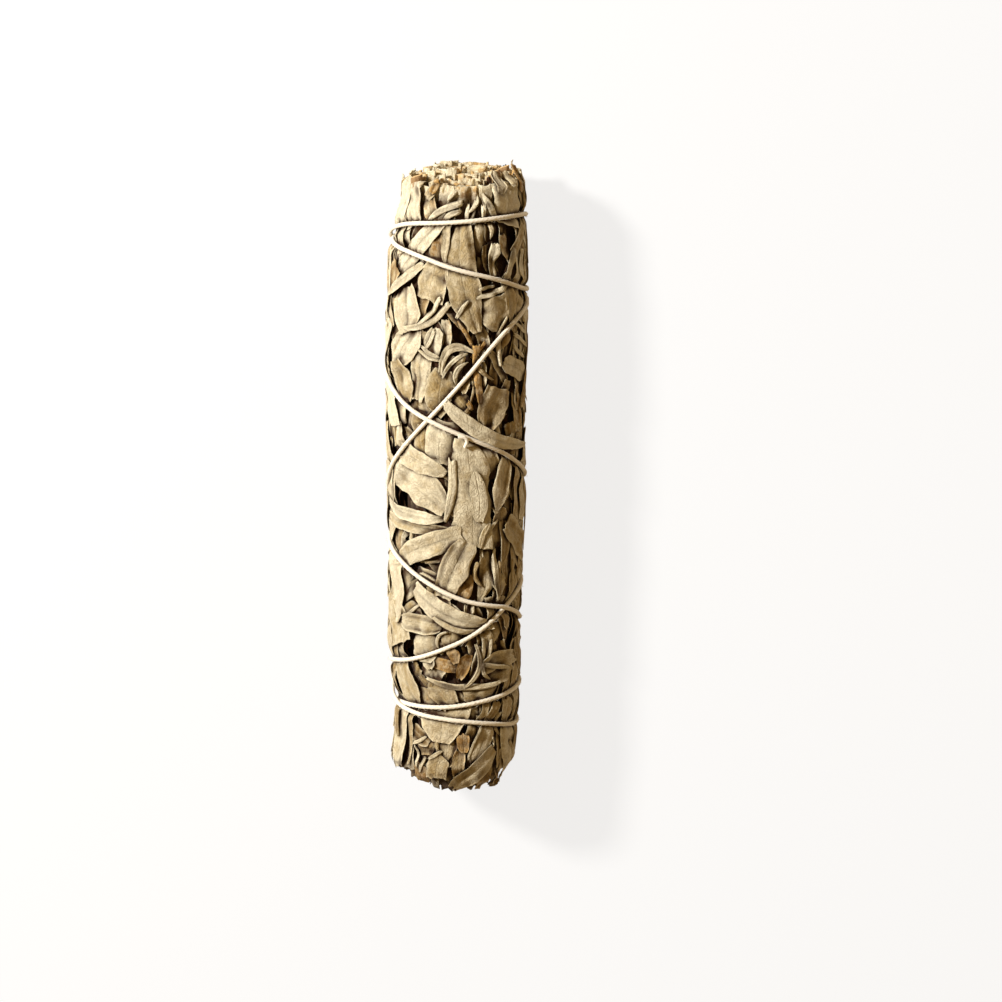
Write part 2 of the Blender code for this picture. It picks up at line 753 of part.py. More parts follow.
def bounds_box():
    """The whole length over the ground, with room to spare at the sides and on top."""
    x = 2 * OUTER_REACH
    y = LENGTH / 2
    corners = [(a, b, c) for a in (-x, x) for b in (-y, y) for c in (0.0, x)]
    faces = [(0, 1, 3, 2), (4, 6, 7, 5), (0, 4, 5, 1), (2, 3, 7, 6), (0, 2, 6, 4), (1, 5, 7, 3)]
    return mesh_object("bounds", corners, faces)


def keep_body(target):
    """Keep the largest body, and drop scraps and sealed hollows."""
    shape = bmesh.new()
    shape.from_mesh(target.data)
    bmesh.ops.triangulate(shape, faces=shape.faces)
    shape.verts.ensure_lookup_table()
    left = set(shape.verts)
    islands = []
    while left:
        seed = left.pop()
        island = {seed}
        edge = [seed]
        while edge:
            vert = edge.pop()
            for link in vert.link_edges:
                other = link.other_vert(vert)
                if other not in island:
                    island.add(other)
                    edge.append(other)
        left -= island
        islands.append(island)
    islands.sort(key=len, reverse=True)
    for island in islands[1:]:
        bmesh.ops.delete(shape, geom=list(island), context="VERTS")
    shape.to_mesh(target.data)
    shape.free()


def stem_path(index, extra=0.0):
    """The middle line of a stem, from its root to its cut end, a little bent.

    For its hole the line is longer by extra, and more so at the cut end.
    """
    turn, distance, _, end = STEMS[index]
    rng = np.random.default_rng(SEED + 31 * index)
    angle = math.radians(turn)
    path = []
    first = STEM_ROOT - extra
    last = end + extra * HOLE_OUT
    for share in np.linspace(0.0, 1.0, STEM_POINTS):
        along = first + (last - first) * float(share)
        bend = STEM_BEND * math.sin(math.pi * float(share)) * rng.uniform(*BEND_SHARES)
        path.append((
            (distance + bend) * math.sin(angle),
            along,
            AXIS_HEIGHT + (distance + bend) * math.cos(angle),
        ))
    return path


def stem(index, name, gap=0.0):
    """A woody stem with a little taper to its root, or with a gap the hole for it."""
    radius = STEMS[index][2]
    path = stem_path(index, HOLE_EXTRA if gap else 0.0)
    shares = np.linspace(0.0, 1.0, STEM_POINTS)
    radii = radius * (STEM_TAPER + (1 - STEM_TAPER) * shares) + gap * STEM_GAP_SPREAD
    return tube(name, path, radii, STEM_SIDES, turned=STEM_TURN * index)


def twine():
    """The twine with its knot and two short ends."""
    path = twine_path()
    made = tube("twine", path, [TWINE_RADIUS] * len(path), TWINE_SIDES)
    outward = np.array([math.sin(math.radians(KNOT_TURN)), 0.0, math.cos(math.radians(KNOT_TURN))])
    mesh = bpy.data.meshes.new("knot")
    shape = bmesh.new()
    bmesh.ops.create_icosphere(shape, subdivisions=1, radius=MM)
    for vert in shape.verts:
        vert.co.x *= KNOT_SIZE[0]
        vert.co.y *= KNOT_SIZE[1]
        vert.co.z *= KNOT_SIZE[2]
    shape.to_mesh(mesh)
    shape.free()
    ball = bpy.data.objects.new("knot", mesh)
    bpy.context.scene.collection.objects.link(ball)
    centre = np.mean([path[0], path[-1]], axis=0) + outward * KNOT_OUT
    for vertex in mesh.vertices:
        vertex.co.x += float(centre[0]) * MM
        vertex.co.y += float(centre[1]) * MM
        vertex.co.z += float(centre[2]) * MM
    tails = []
    for side in (1, -1):
        points = []
        for share in TAIL_SHARES:
            reach = centre + np.array([0.0, side * TAIL_LENGTH * share, -TAIL_DROP * share])
            points.append(tuple(reach + outward * TAIL_ARCH * math.sin(math.pi * share)))
        radii = [TWINE_RADIUS * TAIL_TAPER] * len(points)
        tails.append(tube(f"tail_{side}", points, radii, TWINE_SIDES))
    combine(made, [ball, *tails], "UNION")
    keep_body(made)
    return made


def grooves():
    """The way that the twine is pressed into the leaves, one piece to each turn."""
    path = twine_path()
    around = round(360.0 / TWINE_STEP)
    made = []
    for start in range(0, len(path) - 1, around):
        stretch = path[max(start - 1, 0):start + around + 2]
        radii = [GROOVE_RADIUS] * len(stretch)
        made.append(tube(f"groove_{start}", stretch, radii, GROOVE_SIDES, turned=GROOVE_TURN))
    return made


def sprigs(leaf):
    """Every sprig: the leaves of the whole bunch fused, then parted at the walls."""
    rng = np.random.default_rng(SEED)
    bunch = core(rng)
    blades = [
        *front_blades(rng),
        *far_blades(rng),
        *rest_blades(rng),
        *tip_blades(rng),
        *cut_edges(rng),
    ]
    combine(bunch, blades, "UNION")
    thin_out(bunch)
    combine(bunch, [bounds_box()], "INTERSECT")
    combine(bunch, grooves(), "DIFFERENCE")
    spaces = [sprig_space(index) for index in range(len(WALLS))]
    spaces.append(heart_space())
    for index, space in enumerate(spaces):
        made = copy_of(bunch, f"sprig_{index + 1:02d}_leaves")
        combine(made, [space], "INTERSECT")
        combine(made, [stem(index, f"hole_{index}", STEM_GAP)], "DIFFERENCE")
        keep_body(made)
        made.data.materials.clear()
        made.data.materials.append(leaf)
    bpy.data.objects.remove(bunch, do_unlink=True)


def main():
    tidy_scene()
    leaf = material("dried_leaf", (0.56, 0.48, 0.33), 0.9)
    bark = material("stem_bark", (0.30, 0.17, 0.08), 0.8)
    cotton = material("cotton_twine", (0.82, 0.78, 0.68), 0.85)
    sprigs(leaf)
    for index in range(len(STEMS)):
        stem(index, f"sprig_{index + 1:02d}_stem").data.materials.append(bark)
    winding = twine()
    winding.data.materials.clear()
    winding.data.materials.append(cotton)


main()
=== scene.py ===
import math

import bpy
import numpy as np
from mathutils import Matrix, Vector


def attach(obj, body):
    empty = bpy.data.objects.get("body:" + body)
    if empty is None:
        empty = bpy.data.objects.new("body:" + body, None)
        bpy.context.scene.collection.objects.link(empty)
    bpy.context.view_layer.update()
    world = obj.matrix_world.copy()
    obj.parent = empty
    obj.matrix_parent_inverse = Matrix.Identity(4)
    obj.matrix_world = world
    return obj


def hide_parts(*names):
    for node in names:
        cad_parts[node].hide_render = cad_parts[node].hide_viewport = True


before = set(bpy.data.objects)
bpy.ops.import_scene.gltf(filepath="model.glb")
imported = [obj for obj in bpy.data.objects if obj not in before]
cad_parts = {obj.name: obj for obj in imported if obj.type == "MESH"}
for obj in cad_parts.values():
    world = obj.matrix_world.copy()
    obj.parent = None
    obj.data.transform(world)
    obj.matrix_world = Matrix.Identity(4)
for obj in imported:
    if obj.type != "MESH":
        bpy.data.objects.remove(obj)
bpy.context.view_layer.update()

# A tied bunch of dried sage, lying down and seen from above. The cut ends of the
# stems point to +Y and the ragged leaf tips to -Y. Named values are in millimetres
# and degrees unless they say otherwise. A place on the bunch is given unrolled: how
# far round it is, from straight up toward +X, how far along, and its height over
# the outline. Places read from the picture are in picture units, from the left and
# from the top.
MM = 0.001
SEED = 168

# The bunch, as the solids have it
AXIS_HEIGHT = 17.0
UPPER_SHARE = 0.97
UNDER_REACH = 17.55
FULL_HALF_WIDTH = 16.0
MEAN_RADIUS = 17.3
HALF_WIDTH = 17.0
GROUND_EASE = 1.2       # leaves under the bunch are pressed flat from this height down
SIDE_LIMITS = (-18.2, 18.15)
SIDE_EASE = 0.35
HIGHEST = 35.55
ENDS = (-79.9, 79.95)

# Its pictured edges: how far along, the left edge, the right edge
OUTLINE = np.array((
    (-80.0, -12.6, 11.0), (-76.0, -15.4, 12.6), (-72.0, -16.8, 14.3), (-66.0, -16.4, 15.0),
    (-56.0, -16.0, 15.9), (-41.0, -17.8, 15.9), (-31.0, -17.7, 16.2), (-20.0, -17.3, 16.5),
    (-6.0, -17.6, 17.2), (19.0, -17.9, 17.4), (32.0, -18.1, 17.7), (45.0, -17.7, 17.9),
    (58.0, -17.0, 17.7), (64.0, -15.7, 17.5), (71.0, -13.8, 17.3), (80.0, -12.6, 16.6),
))

# The picture: its scale, where the axis and the middle of the length show, and how
# far the eye stands off the vertical toward the cut ends
UNITS_PER_MM = 3.96
PICTURE_AXIS = 457.0
PICTURE_MIDDLE = 477.0
VIEW_TILT = 10.0
VIEW_TILT_CHANGE = 5.0
HALF_LENGTH = 80.0
EDGE_LIMIT = 0.975
SHOWN_SPREAD = 1.05     # a pictured leaf is a little wider than what shows
LEAST_FACING = 0.45     # it shows narrowed near the pictured edges,
SIDE_WIDEN = 0.5        # and is given this share of that back

# The ragged end: how far across, how far along it reaches
TIP_LINE = np.array((
    (-17.5, -72.0), (-13.0, -75.2), (-7.0, -77.0), (-3.0, -78.4), (0.0, -79.9),
    (5.0, -79.7), (9.0, -78.0), (12.5, -75.4), (16.0, -71.5),
))

# The camera
EYE_ALONG = 158.0
EYE_HEIGHT = 905.0
LOOK_AT = (11.1, -6.2, 17.0)
LENS = 128.0
SENSOR = 36.0

# The heap of leaves, a map of heights over the unrolled outline
HEAP_ROUND = 272
HEAP_ALONG = (-86.0, 86.0)
HEAP_LONG = 430
CORE_SUNK = 4.6
CORE_SIDE_RISE = 2.0    # how much less the core is sunk at both sides
CORE_ROUGH = 0.3
CORE_UNDER = 0.15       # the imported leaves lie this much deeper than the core's map

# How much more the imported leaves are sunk: how far, from which place along, over what
# length. Toward the cut end they come up first.
CORE_RISE = (-2.2, 60.0, 5.0)
CORE_CUT = (9.0, 73.0, 3.0)
CORE_CUT_SOONER = 2.5   # the sinking at the cut end starts this much sooner above
CORE_TIPS = (6.0, 62.0, 8.0)    # this place is counted toward the ragged end
STEM_SUNK = -1.0
LEAF_GAP = 0.05
LEAF_THICK = 0.17
ROW_STEP = 0.55
EDGE_LINE = 0.972       # the last lines before a leaf's edges and ends, which keep them crisp
END_LINE = 0.99
HIGHEST_LEAF = 0.5
HEAP_TOP = -0.1
HEAP_UNEVEN = 0.55
UNEVEN_BLUR = 24
TOP_BLUR = 36
LEAST_ROOM = 0.3        # the height of a heap is taken to be no less than this
SCALE_LIMITS = (0.5, 1.7)
NEAR_DEPTHS = (0.04, 0.42)      # how deep shade starts, and over what depth it grows
FAR_DEPTHS = (0.2, 1.1)
DEPTH_SHARE = 0.8
TONE_ALONG = 0.0016     # leaves are a little paler toward the cut ends
RIM_THIN = 0.55         # how much thinner a leaf is at its rim
FLAT_STEP = 40.0        # how far a leaf's flat places are from the next leaf's

# Leaf shapes. Heights, steps, facets and ripples are in millimetres, the rest are
# shares of a leaf's own length or width. A pair gives the limits of an even draw, or
# for the camber, the curl and the lift of the tip the mean and spread of a normal one.
ROW_LIMITS = (12, 64)
COLUMN_LIMITS = (4, 10)
COLUMNS_PER_MM = 1.05
ROLLED_COLUMNS = 9
COLUMN_CROWDING = 0.80  # columns lie closer together toward the edges
ROOT_WIDTHS = (0.4, 0.85)
SWELL = 0.30            # the part of the length over which a leaf widens
TAPERS = (0.32, 0.5)    # and over which it narrows
BROKEN_MOST = 0.85      # how much of a broken outline may be mixed in
FIRST_CORNERS = (0.12, 0.35)
SECOND_CORNERS = (0.5, 0.8)
FIRST_WIDTHS = (0.85, 1.05)
SECOND_WIDTHS = (0.75, 1.05)
END_WIDTH = 0.05
KNOT_STEP = 3.2         # the length between the bends of a waved edge
DRIFT_STEP = 9.0        # and of the mid line
DRIFT = 0.4
EDGE_WAVE = 0.10
ROLLED_WAVE = 0.05
EDGE_JAG = 0.05
END_SLANT = 0.45
END_TEAR = (0.8, 0.12, 0.6)     # its jags, its depth as a share of the width, its most
ROOT_FRAY = 0.7
RIDGE_ROUND = 0.38      # a rolled leaf: part half ellipse, part tent
RIDGE_TENT = 0.22
RIDGE_WAVE = 0.14
FULL_SIZE = 7.0         # leaves of this width have their shapes in full
SIZE_MOST = 1.2
CAMBER = (0.03, 0.14)
EDGE_TILT = (-0.28, 0.30)
CREASES = (0.14, 0.42)
CREASE_DRIFT = 0.22
FACETS = (0.10, 0.26)
FACET_SIZES = (2.0, 3.4)
SMALL_FACET = 0.06
SMALL_FACET_SIZE = 1.3
RIPPLES = (0.02, 0.15)
RIPPLE_LENGTHS = (5.0, 10.0)
RIPPLE_LAGS = (0.6, 2.6)
CURL_START = 0.68
CURL = (0.06, 0.26)
TIP_LIFT = (0.15, 0.45)
TIP_LIFT_START = 0.78
VEIN_DEPTH = 0.12
VEIN_WIDTH = 0.3

# Twine
TWINE_RADIUS = 0.58
TWINE_SUNK = 0.15
TWINE_STEP = 18.0
TWINE_FINE = 14         # points to a step
TWINE_LIFT = 1.2        # how far apart two strands lie where they cross
TWINE_DIP = 0.45        # how far the strand underneath is pressed in there
LIFT_SPREAD = 0.65
KNOT_LIFT = 0.8
CROSSING_REACH = 1.9
CROSSING_SHARE = 0.35
KNOT_TURN = 118.0
TWINE_START_ALONG = 45.9
TWINE_OFF_GROUND = 0.12
TWINE_SIDES = 18
PLIES = 3
PLY_VALLEY = 0.74       # the least radius between the plies
PLY_ROUND = 0.7
PLY_PITCH = 3.4
PRESS_REACH = 1.5       # how far from the twine the leaves are pressed
PRESS_BITE = 0.12       # how far it sinks into them
PRESS_SLOPE = 0.05
PRESSED_LEAST = 0.3
KNOT_OUT = 0.75
KNOT_SIZE = (1.15, 1.6, 1.3)
KNOT_SIDES = 14
KNOT_POINTS = 90
KNOT_THIN = 0.92        # the share of the twine's radius that it has in the knot
TAIL_POINTS = 26
TAIL_THIN = 0.8
TAIL_FLARE = 0.35
TAIL_LENGTH = 5.0
TAIL_DROP = 2.2
TAIL_ARCH = 0.35

# A loose end of twine that hangs off a crossing
LOOSE_END = ((459, 436), (465, 437), (467, 441), (465, 447))
LOOSE_THIN = 0.85
LOOSE_RISE = 0.5        # it starts this much higher than it ends
LOOSE_FINE = 6

# Short loose fibres on the twine
LINT_COUNT = 520
LINT_RADIUS = 0.045
LINT_LENGTHS = (0.5, 1.5)
LINT_CURL = 0.6
LINT_RISE = 0.42

# The twine on the pictured side, in the order of winding, right to left
TWINE_PASSES = (
    ((528, 304), (514, 321), (503, 332), (489, 348), (468, 378), (455, 392), (431, 418), (392, 465)),
    ((520, 586), (509, 602), (498, 618), (485, 629), (459, 644), (434, 654), (408, 661), (392, 659)),
    ((520, 684), (504, 695), (485, 701), (459, 707), (429, 708), (397, 701)),
    ((519, 724), (495, 724), (459, 721), (421, 715), (397, 701)),
    ((520, 617), (507, 605), (478, 606), (455, 599), (435, 588), (417, 575), (400, 561), (391, 545)),
    ((528, 471), (511, 456), (489, 446), (466, 437), (441, 426), (424, 416), (400, 398), (385, 376)),
    ((530, 291), (490, 277), (448, 268), (430, 258), (394, 242)),
    ((527, 213), (490, 219), (455, 223), (410, 223), (397, 226)),
)

# After each pass, the twine round the far side: turn, how far along
TWINE_RETURNS = (
    ((235.0, -12.0), (180.0, -19.5)),
    ((235.0, -49.0), (180.0, -50.5)),
    ((235.0, -58.8), (180.0, -60.0)),
    ((235.0, -49.5), (180.0, -42.0)),
    ((235.0, -13.5), (180.0, -7.5)),
    ((235.0, 33.0), (180.0, 38.5), (150.0, 43.0), (118.0, 48.2)),
    ((235.0, 61.5), (180.0, 63.0)),
    ((235.0, 58.5), (180.0, 52.0), (150.0, 50.4), (136.0, 48.8), (118.0, 43.0)),
)

# The leaves that show: one end, the other end, width, sag of the mid line to the
# left of its way, layer, and how blunt the second end is
SHOWN_LEAVES = (
    (416, 183, 414, 226, 20, 0, 1, 0.6), (426, 188, 437, 226, 14, 0, 0, 0.5),
    (449, 186, 440, 224, 30, 0, 0, 0.8), (507, 185, 508, 226, 32, 0, 1, 0.8),
    (503, 173, 501, 194, 12, 0, 1, 0.6), (515, 172, 516, 194, 8, 0, 1, 0.6),
    (521, 186, 523, 226, 12, 0, 0, 0.5), (480, 182, 482, 206, 16, 0, 0, 0.5),
    (433, 178, 428, 200, 12, 3, 1, 0.5), (403, 220, 401, 254, 12, 0, 1, 0.3),
    (447, 214, 393, 288, 17, 2, 2, 0.35), (437, 243, 432, 270, 11, 0, 0, 0.3),
    (450, 224, 447, 264, 8, 0, 1, 0.2), (461, 222, 477, 333, 31, -5, 1, 0.25),
    (480, 224, 488, 276, 15, 0, 0, 0.2), (392, 234, 391, 284, 10, 0, 0, 0.4),
    (497, 244, 496, 284, 9, 0, 1, 0.2), (506, 222, 513, 266, 16, 0, 0, 0.2),
    (514, 248, 506, 287, 8, 0, 1, 0.2), (521, 228, 522, 302, 10, 0, 0, 0.4),
    (424, 266, 390, 294, 7, 0, 2, 0.1), (440, 262, 429, 301, 29, 0, 1, 0.95),
    (405, 286, 409, 332, 26, 0, 1, 0.6), (494, 296, 499, 332, 27, 0, 1, 0.25),
    (514, 298, 516, 332, 10, 0, 0, 0.3), (418, 306, 426, 327, 13, 0, 0, 0.3),
    (393, 298, 397, 354, 10, 0, 0, 0.3), (416, 326, 397, 364, 25, 0, 1, 0.3),
    (436, 328, 434, 360, 17, 0, 1, 0.3), (446, 320, 450, 350, 11, 0, 0, 0.2),
    (443, 376, 480, 356, 9, 19, 2, 0.3), (492, 352, 512, 331, 14, 0, 0, 0.1),
    (520, 312, 513, 362, 10, 0, 0, 0.3), (462, 353, 456, 388, 8, 0, 1, 0.2),
    (468, 358, 466, 394, 11, 0, 0, 0.2), (397, 360, 410, 402, 19, 0, 1, 0.2),
    (423, 346, 420, 401, 20, 0, 1, 0.5), (443, 370, 436, 416, 25, 0, 1, 0.3),
    (395, 390, 401, 424, 18, 0, 1, 0.4), (401, 422, 400, 450, 9, 0, 1, 0.4),
    (423, 400, 428, 418, 12, 0, 0, 0.2), (486, 378, 490, 402, 9, 0, 0, 0.3),
    (443, 420, 441, 464, 31, 0, 1, 0.4), (420, 424, 424, 457, 15, 0, 0, 0.3),
    (497, 360, 494, 402, 10, 0, 0, 0.3), (503, 362, 526, 375, 12, 0, 1, 0.3),
    (508, 380, 504, 414, 11, 0, 1, 0.3), (518, 378, 516, 432, 10, 0, 0, 0.4),
    (455, 396, 470, 414, 17, 0, 0, 0.3), (399, 452, 446, 475, 19, 3, 2, 0.3),
    (394, 468, 447, 508, 31, 6, 1, 0.4), (386, 499, 449, 519, 10, -5, 2, 0.2),
    (385, 514, 460, 534, 11, 0, 2, 0.1), (468, 438, 475, 546, 42, 0, 1, 0.9),
    (481, 522, 477, 471, 16, 0, 2, 0.08), (498, 453, 492, 512, 13, 0, 0, 0.2),
    (507, 458, 495, 510, 16, 0, 1, 0.1), (517, 466, 514, 570, 11, 2, 1, 0.5),
    (389, 446, 394, 502, 11, 0, 0, 0.3), (502, 508, 498, 548, 17, 0, 0, 0.4),
    (398, 524, 396, 550, 13, 0, 0, 0.3), (449, 468, 452, 492, 12, 0, 0, 0.3),
    (451, 493, 455, 517, 11, 0, 1, 0.3), (463, 536, 395, 560, 23, -2, 2, 0.2),
    (468, 542, 441, 598, 27, 0, 2, 0.6), (484, 547, 480, 604, 15, 8, 1, 0.15),
    (424, 562, 448, 558, 10, 0, 0, 0.3), (412, 570, 444, 580, 8, 0, 1, 0.2),
    (405, 566, 391, 598, 21, 0, 1, 0.3), (424, 580, 396, 604, 10, 0, 1, 0.2),
    (430, 586, 448, 608, 17, 0, 1, 0.4), (391, 594, 391, 644, 16, 0, 1, 0.4),
    (505, 546, 504, 602, 11, 0, 0, 0.3), (515, 570, 512, 600, 11, 0, 1, 0.3),
    (472, 573, 461, 602, 17, 0, 0, 0.2), (513, 638, 515, 692, 11, 0, 0, 0.4),
    (503, 610, 510, 652, 10, 0, 0, 0.3), (497, 728, 498, 772, 9, 0, 0, 0.3),
    (414, 590, 494, 627, 21, -8, 2, 0.2), (404, 607, 420, 622, 18, 0, 1, 0.4),
    (401, 621, 441, 628, 19, 0, 2, 0.4), (393, 600, 399, 643, 27, 0, 1, 0.9),
    (425, 632, 424, 663, 27, 0, 1, 0.5), (424, 652, 429, 670, 15, 0, 1, 0.3),
    (454, 632, 450, 652, 19, 0, 0, 0.4), (483, 668, 517, 658, 15, 6, 2, 0.4),
    (488, 677, 511, 671, 13, 0, 1, 0.3), (516, 662, 514, 692, 9, 0, 1, 0.2),
    (398, 660, 414, 706, 24, 0, 2, 0.5), (421, 676, 434, 702, 11, 0, 0, 0.3),
    (434, 684, 452, 707, 25, 0, 1, 0.6), (464, 697, 499, 688, 15, -3, 1, 0.2),
    (441, 690, 441, 743, 68, 0, 1, 0.2), (401, 696, 398, 766, 19, 0, 1, 0.7),
    (410, 706, 407, 764, 7, 0, 0, 0.3), (392, 732, 389, 763, 9, 0, 0, 0.7),
    (410, 727, 428, 744, 14, 0, 0, 0.5), (424, 738, 426, 755, 21, 0, 0, 0.6),
    (447, 716, 446, 762, 25, 0, 0, 0.03), (438, 757, 437, 779, 25, 0, 1, 0.9),
    (477, 724, 469, 741, 13, 0, 0, 0.7), (490, 722, 472, 769, 20, 0, 2, 0.45),
    (494, 750, 452, 791, 22, 2, 2, 0.5), (508, 722, 503, 778, 19, 0, 1, 0.5),
    (489, 702, 477, 724, 8, 0, 1, 0.4), (499, 703, 487, 724, 10, 0, 1, 0.4),
    (498, 388, 486, 434, 29, 0, 1, 0.12), (424, 276, 421, 324, 15, 0, 0, 0.3),
    (428, 332, 412, 374, 17, 0, 0, 0.3), (514, 722, 514, 754, 9, 0, 0, 0.3),
    (508, 698, 507, 724, 13, 0, 0, 0.3), (460, 750, 458, 780, 13, 0, 0, 0.3),
    (420, 764, 424, 784, 15, 0, 0, 0.3), (480, 743, 485, 792, 17, 0, 0, 0.3),
    (500, 762, 498, 786, 11, 0, 0, 0.2),
)

# Leaf stalks and rolled narrow leaves that show: both ends, width, sag, layer
SHOWN_STRANDS = (
    (472, 190, 449, 201, 7, -4, 2), (467, 198, 446, 207, 6, -3, 2), (464, 205, 429, 220, 7, -2, 2),
    (463, 211, 442, 223, 6, -1, 2), (473, 190, 461, 224, 8, 2, 2), (470, 205, 466, 224, 5, 0, 2),
    (480, 199, 472, 224, 6, 0, 2), (478, 191, 470, 213, 6, 4, 2), (481, 190, 494, 222, 7, -2, 2),
    (485, 194, 500, 222, 7, -3, 2), (483, 206, 487, 224, 5, 0, 2), (490, 201, 493, 222, 5, 0, 1),
    (451, 304, 405, 326, 7, 7, 2), (442, 299, 419, 323, 5, 3, 2), (458, 318, 468, 300, 4, 0, 1),
    (478, 299, 513, 284, 5, 0, 2), (480, 291, 498, 285, 4, 0, 1), (458, 420, 500, 449, 7, -4, 2),
    (453, 460, 446, 522, 9, 2, 2), (496, 550, 497, 602, 6, 0, 1), (420, 350, 441, 362, 4, 0, 1),
    (436, 330, 428, 350, 4, 0, 1), (469, 354, 443, 377, 4, -5, 2), (457, 386, 469, 362, 5, 7, 1),
    (424, 346, 441, 357, 4, -1, 2), (404, 532, 402, 548, 4, 0, 1), (434, 619, 484, 631, 6, -7, 2),
    (402, 618, 419, 605, 4, 0, 1), (448, 632, 440, 651, 4, -7, 2), (475, 645, 462, 688, 5, 11, 2),
    (482, 638, 467, 686, 5, 8, 1), (491, 640, 478, 676, 4, 6, 1), (427, 677, 501, 680, 6, -8, 2),
    (480, 665, 509, 668, 5, 1, 2), (481, 664, 491, 681, 4, -3, 2), (413, 744, 426, 737, 4, 0, 1),
    (430, 760, 442, 751, 4, 1, 2), (413, 745, 418, 767, 4, 0, 1), (424, 758, 420, 772, 4, 0, 1),
    (494, 738, 491, 747, 4, 2, 2), (483, 727, 468, 760, 3, -2, 2), (412, 532, 411, 546, 4, 0, 1),
    (420, 574, 444, 588, 4, 2, 1), (515, 322, 527, 332, 4, 0, 1), (513, 334, 526, 346, 4, 0, 1),
    (512, 346, 524, 358, 4, 0, 1), (468, 606, 462, 622, 4, 0, 1), (476, 606, 470, 622, 4, 0, 1),
)

LAYER_STRAY = 0.4       # how much the layer of a pictured leaf may vary
SHOWN_TONES = (0.45, 1.0)
# Painted shade and light by layer: the lowest pictured leaves darker, the highest paler
LAYER_SHADE_TONES = (-0.2, 0.0, 0.2)
STRAND_TONES = (0.75, 1.0)

# Brown leaves, then brown twigs and bits: both ends, width
BROWN_LEAVES = (
    (463, 735, 463, 753, 14), (434, 664, 472, 672, 13), (470, 655, 460, 680, 14),
    (452, 650, 456, 664, 14), (421, 766, 420, 783, 16), (521, 166, 521, 192, 13),
    (470, 576, 461, 602, 14), (441, 236, 435, 270, 12), (420, 692, 428, 706, 8),
)
BROWN_BITS = (
    (460, 321, 479, 353, 4), (486, 343, 472, 358, 4), (476, 345, 479, 404, 8),
    (438, 180, 434, 195, 8), (497, 179, 499, 187, 6), (447, 236, 444, 268, 6),
    (468, 402, 476, 412, 5), (409, 572, 424, 582, 5),
)

# Leaves by a rule, group by group: their turns, the pitch along, lengths, widths, the
# spread of their slant in radians, layers, the share of rolled ones, how fine they are
SCATTERED = (
    (range(0, 360, 14), 11.0, (14.0, 26.0), (4.8, 7.8), 0.45, (-1.0, 0.0), 0.0, 0.55),
    ((70, 80, 100, 250, 264, 278, 290), 9.0, (12.0, 20.0), (4.0, 7.0), 0.3, (-0.6,), 0.0, 0.55),
    (range(24, 84, 11), 10.0, (6.0, 13.0), (2.2, 4.6), 0.35, (1.2,), 0.25, 1.0),
    (range(-80, 24, 21), 14.0, (5.0, 10.0), (2.0, 4.0), 0.6, (0.8,), 0.2, 1.0),
    (range(88, 290, 15), 11.5, (15.0, 30.0), (4.6, 8.0), 0.5, (1.0, 2.0, 3.0), 0.10, 0.75),
)
SCATTER_ENDS = (-70.0, 78.6)
SCATTER_DROP = 4.6      # on the upper side they start this much further from the cut end
SCATTER_STRAY = 7.0     # how far their turns stray
SCATTER_RAGGED = (0.1, 1.8)
SCATTER_TONES = (0.3, 1.0)
SCATTER_BLUNTS = (0.08, 0.3, 0.7)
TIP_END_BLUNTS = (0.6, 0.9)
ROLLED_WIDTHS = (0.8, 1.6)
SHORTEST = 3.0

# A leaf that crosses over the twine
OVER_TWINE = (447, 402, 524, 445, 14, -11)

# Sprigs: the turn of each wall between them
WALLS = (-82.0, -36.0, 18.0, 74.0, 142.0, 212.0)
WEDGE_GRID = (60, 18)
WEDGE_ENDS = (-70.0, 76.0)
HEART_RADIUS = 5.2
HEART_GAP = 0.8
HEART_GRID = (40, 20)
HEART_ENDS = (-66.0, 71.0)
# The marks of the packed leaves: a low tone, nearly full painted shade, no rim, a little stain
PACKED_MARKS = (0.35, 0.95, 0.0, 0.3)

# Leaf tips inside the ragged end, and cut leaves at the stem end: the radius of a
# ring, how many stand in it. Both stay this far under the outline.
TIP_RINGS = ((2.6, 5), (5.6, 9), (8.6, 13), (11.4, 17), (13.6, 20))
CUT_RINGS = ((2.0, 6), (4.4, 11), (6.8, 16), (9.2, 21), (11.4, 27), (13.4, 31))
INNER_GAP = 1.6
TIP_ROOT = -52.0
TIP_RAGGED = (0.2, 2.6)
TIP_WIDTHS = (4.8, 8.0)
TIP_BLUNTS = (0.5, 0.7, 0.9)
CUT_GRID = (9, 17)
CUT_SPANS = (4.5, 8.5)
CUT_ROOT = 65.0
CUT_TOP = 78.5
CUT_DROP = 3.9
CUT_LIMIT = 79.9
CUT_LEAF_THICK = 0.5
CUT_TURNS = (0.6, 4.4)  # the most that a section is turned, and turns over its length, in radians
CUT_SWAYS = (0.3, 1.3)  # how far it sways, in radians, and in how many waves
CUT_WAVES = (0.8, 2.2)
CUT_RIM = 0.75
CUT_SHADE = 0.95        # how much painted shade it has deep down,
CUT_PALE = 4.4          # how far under its top the painted shade starts to fade,
CUT_PALE_OVER = 3.8     # and over what length
CUT_SIDE_DROP = 1.3
CUT_RAGGED = (-1.0, 0.5)
CUT_FLARES = (-0.1, 0.22)
CUT_FACETS = (0.30, 1.9)        # their height, their size
CUT_BROWN_SHARE = 0.45
TIP_SHADE = 0.7         # how much painted shade the lowest leaves get toward the ragged end
TIP_SHADE_REACH = 4.0
TIP_SPREAD = 1.4
INNER_SHADE = (0.42, 0.50)      # the painted shade of an inner tip: the least, and more toward the upper side
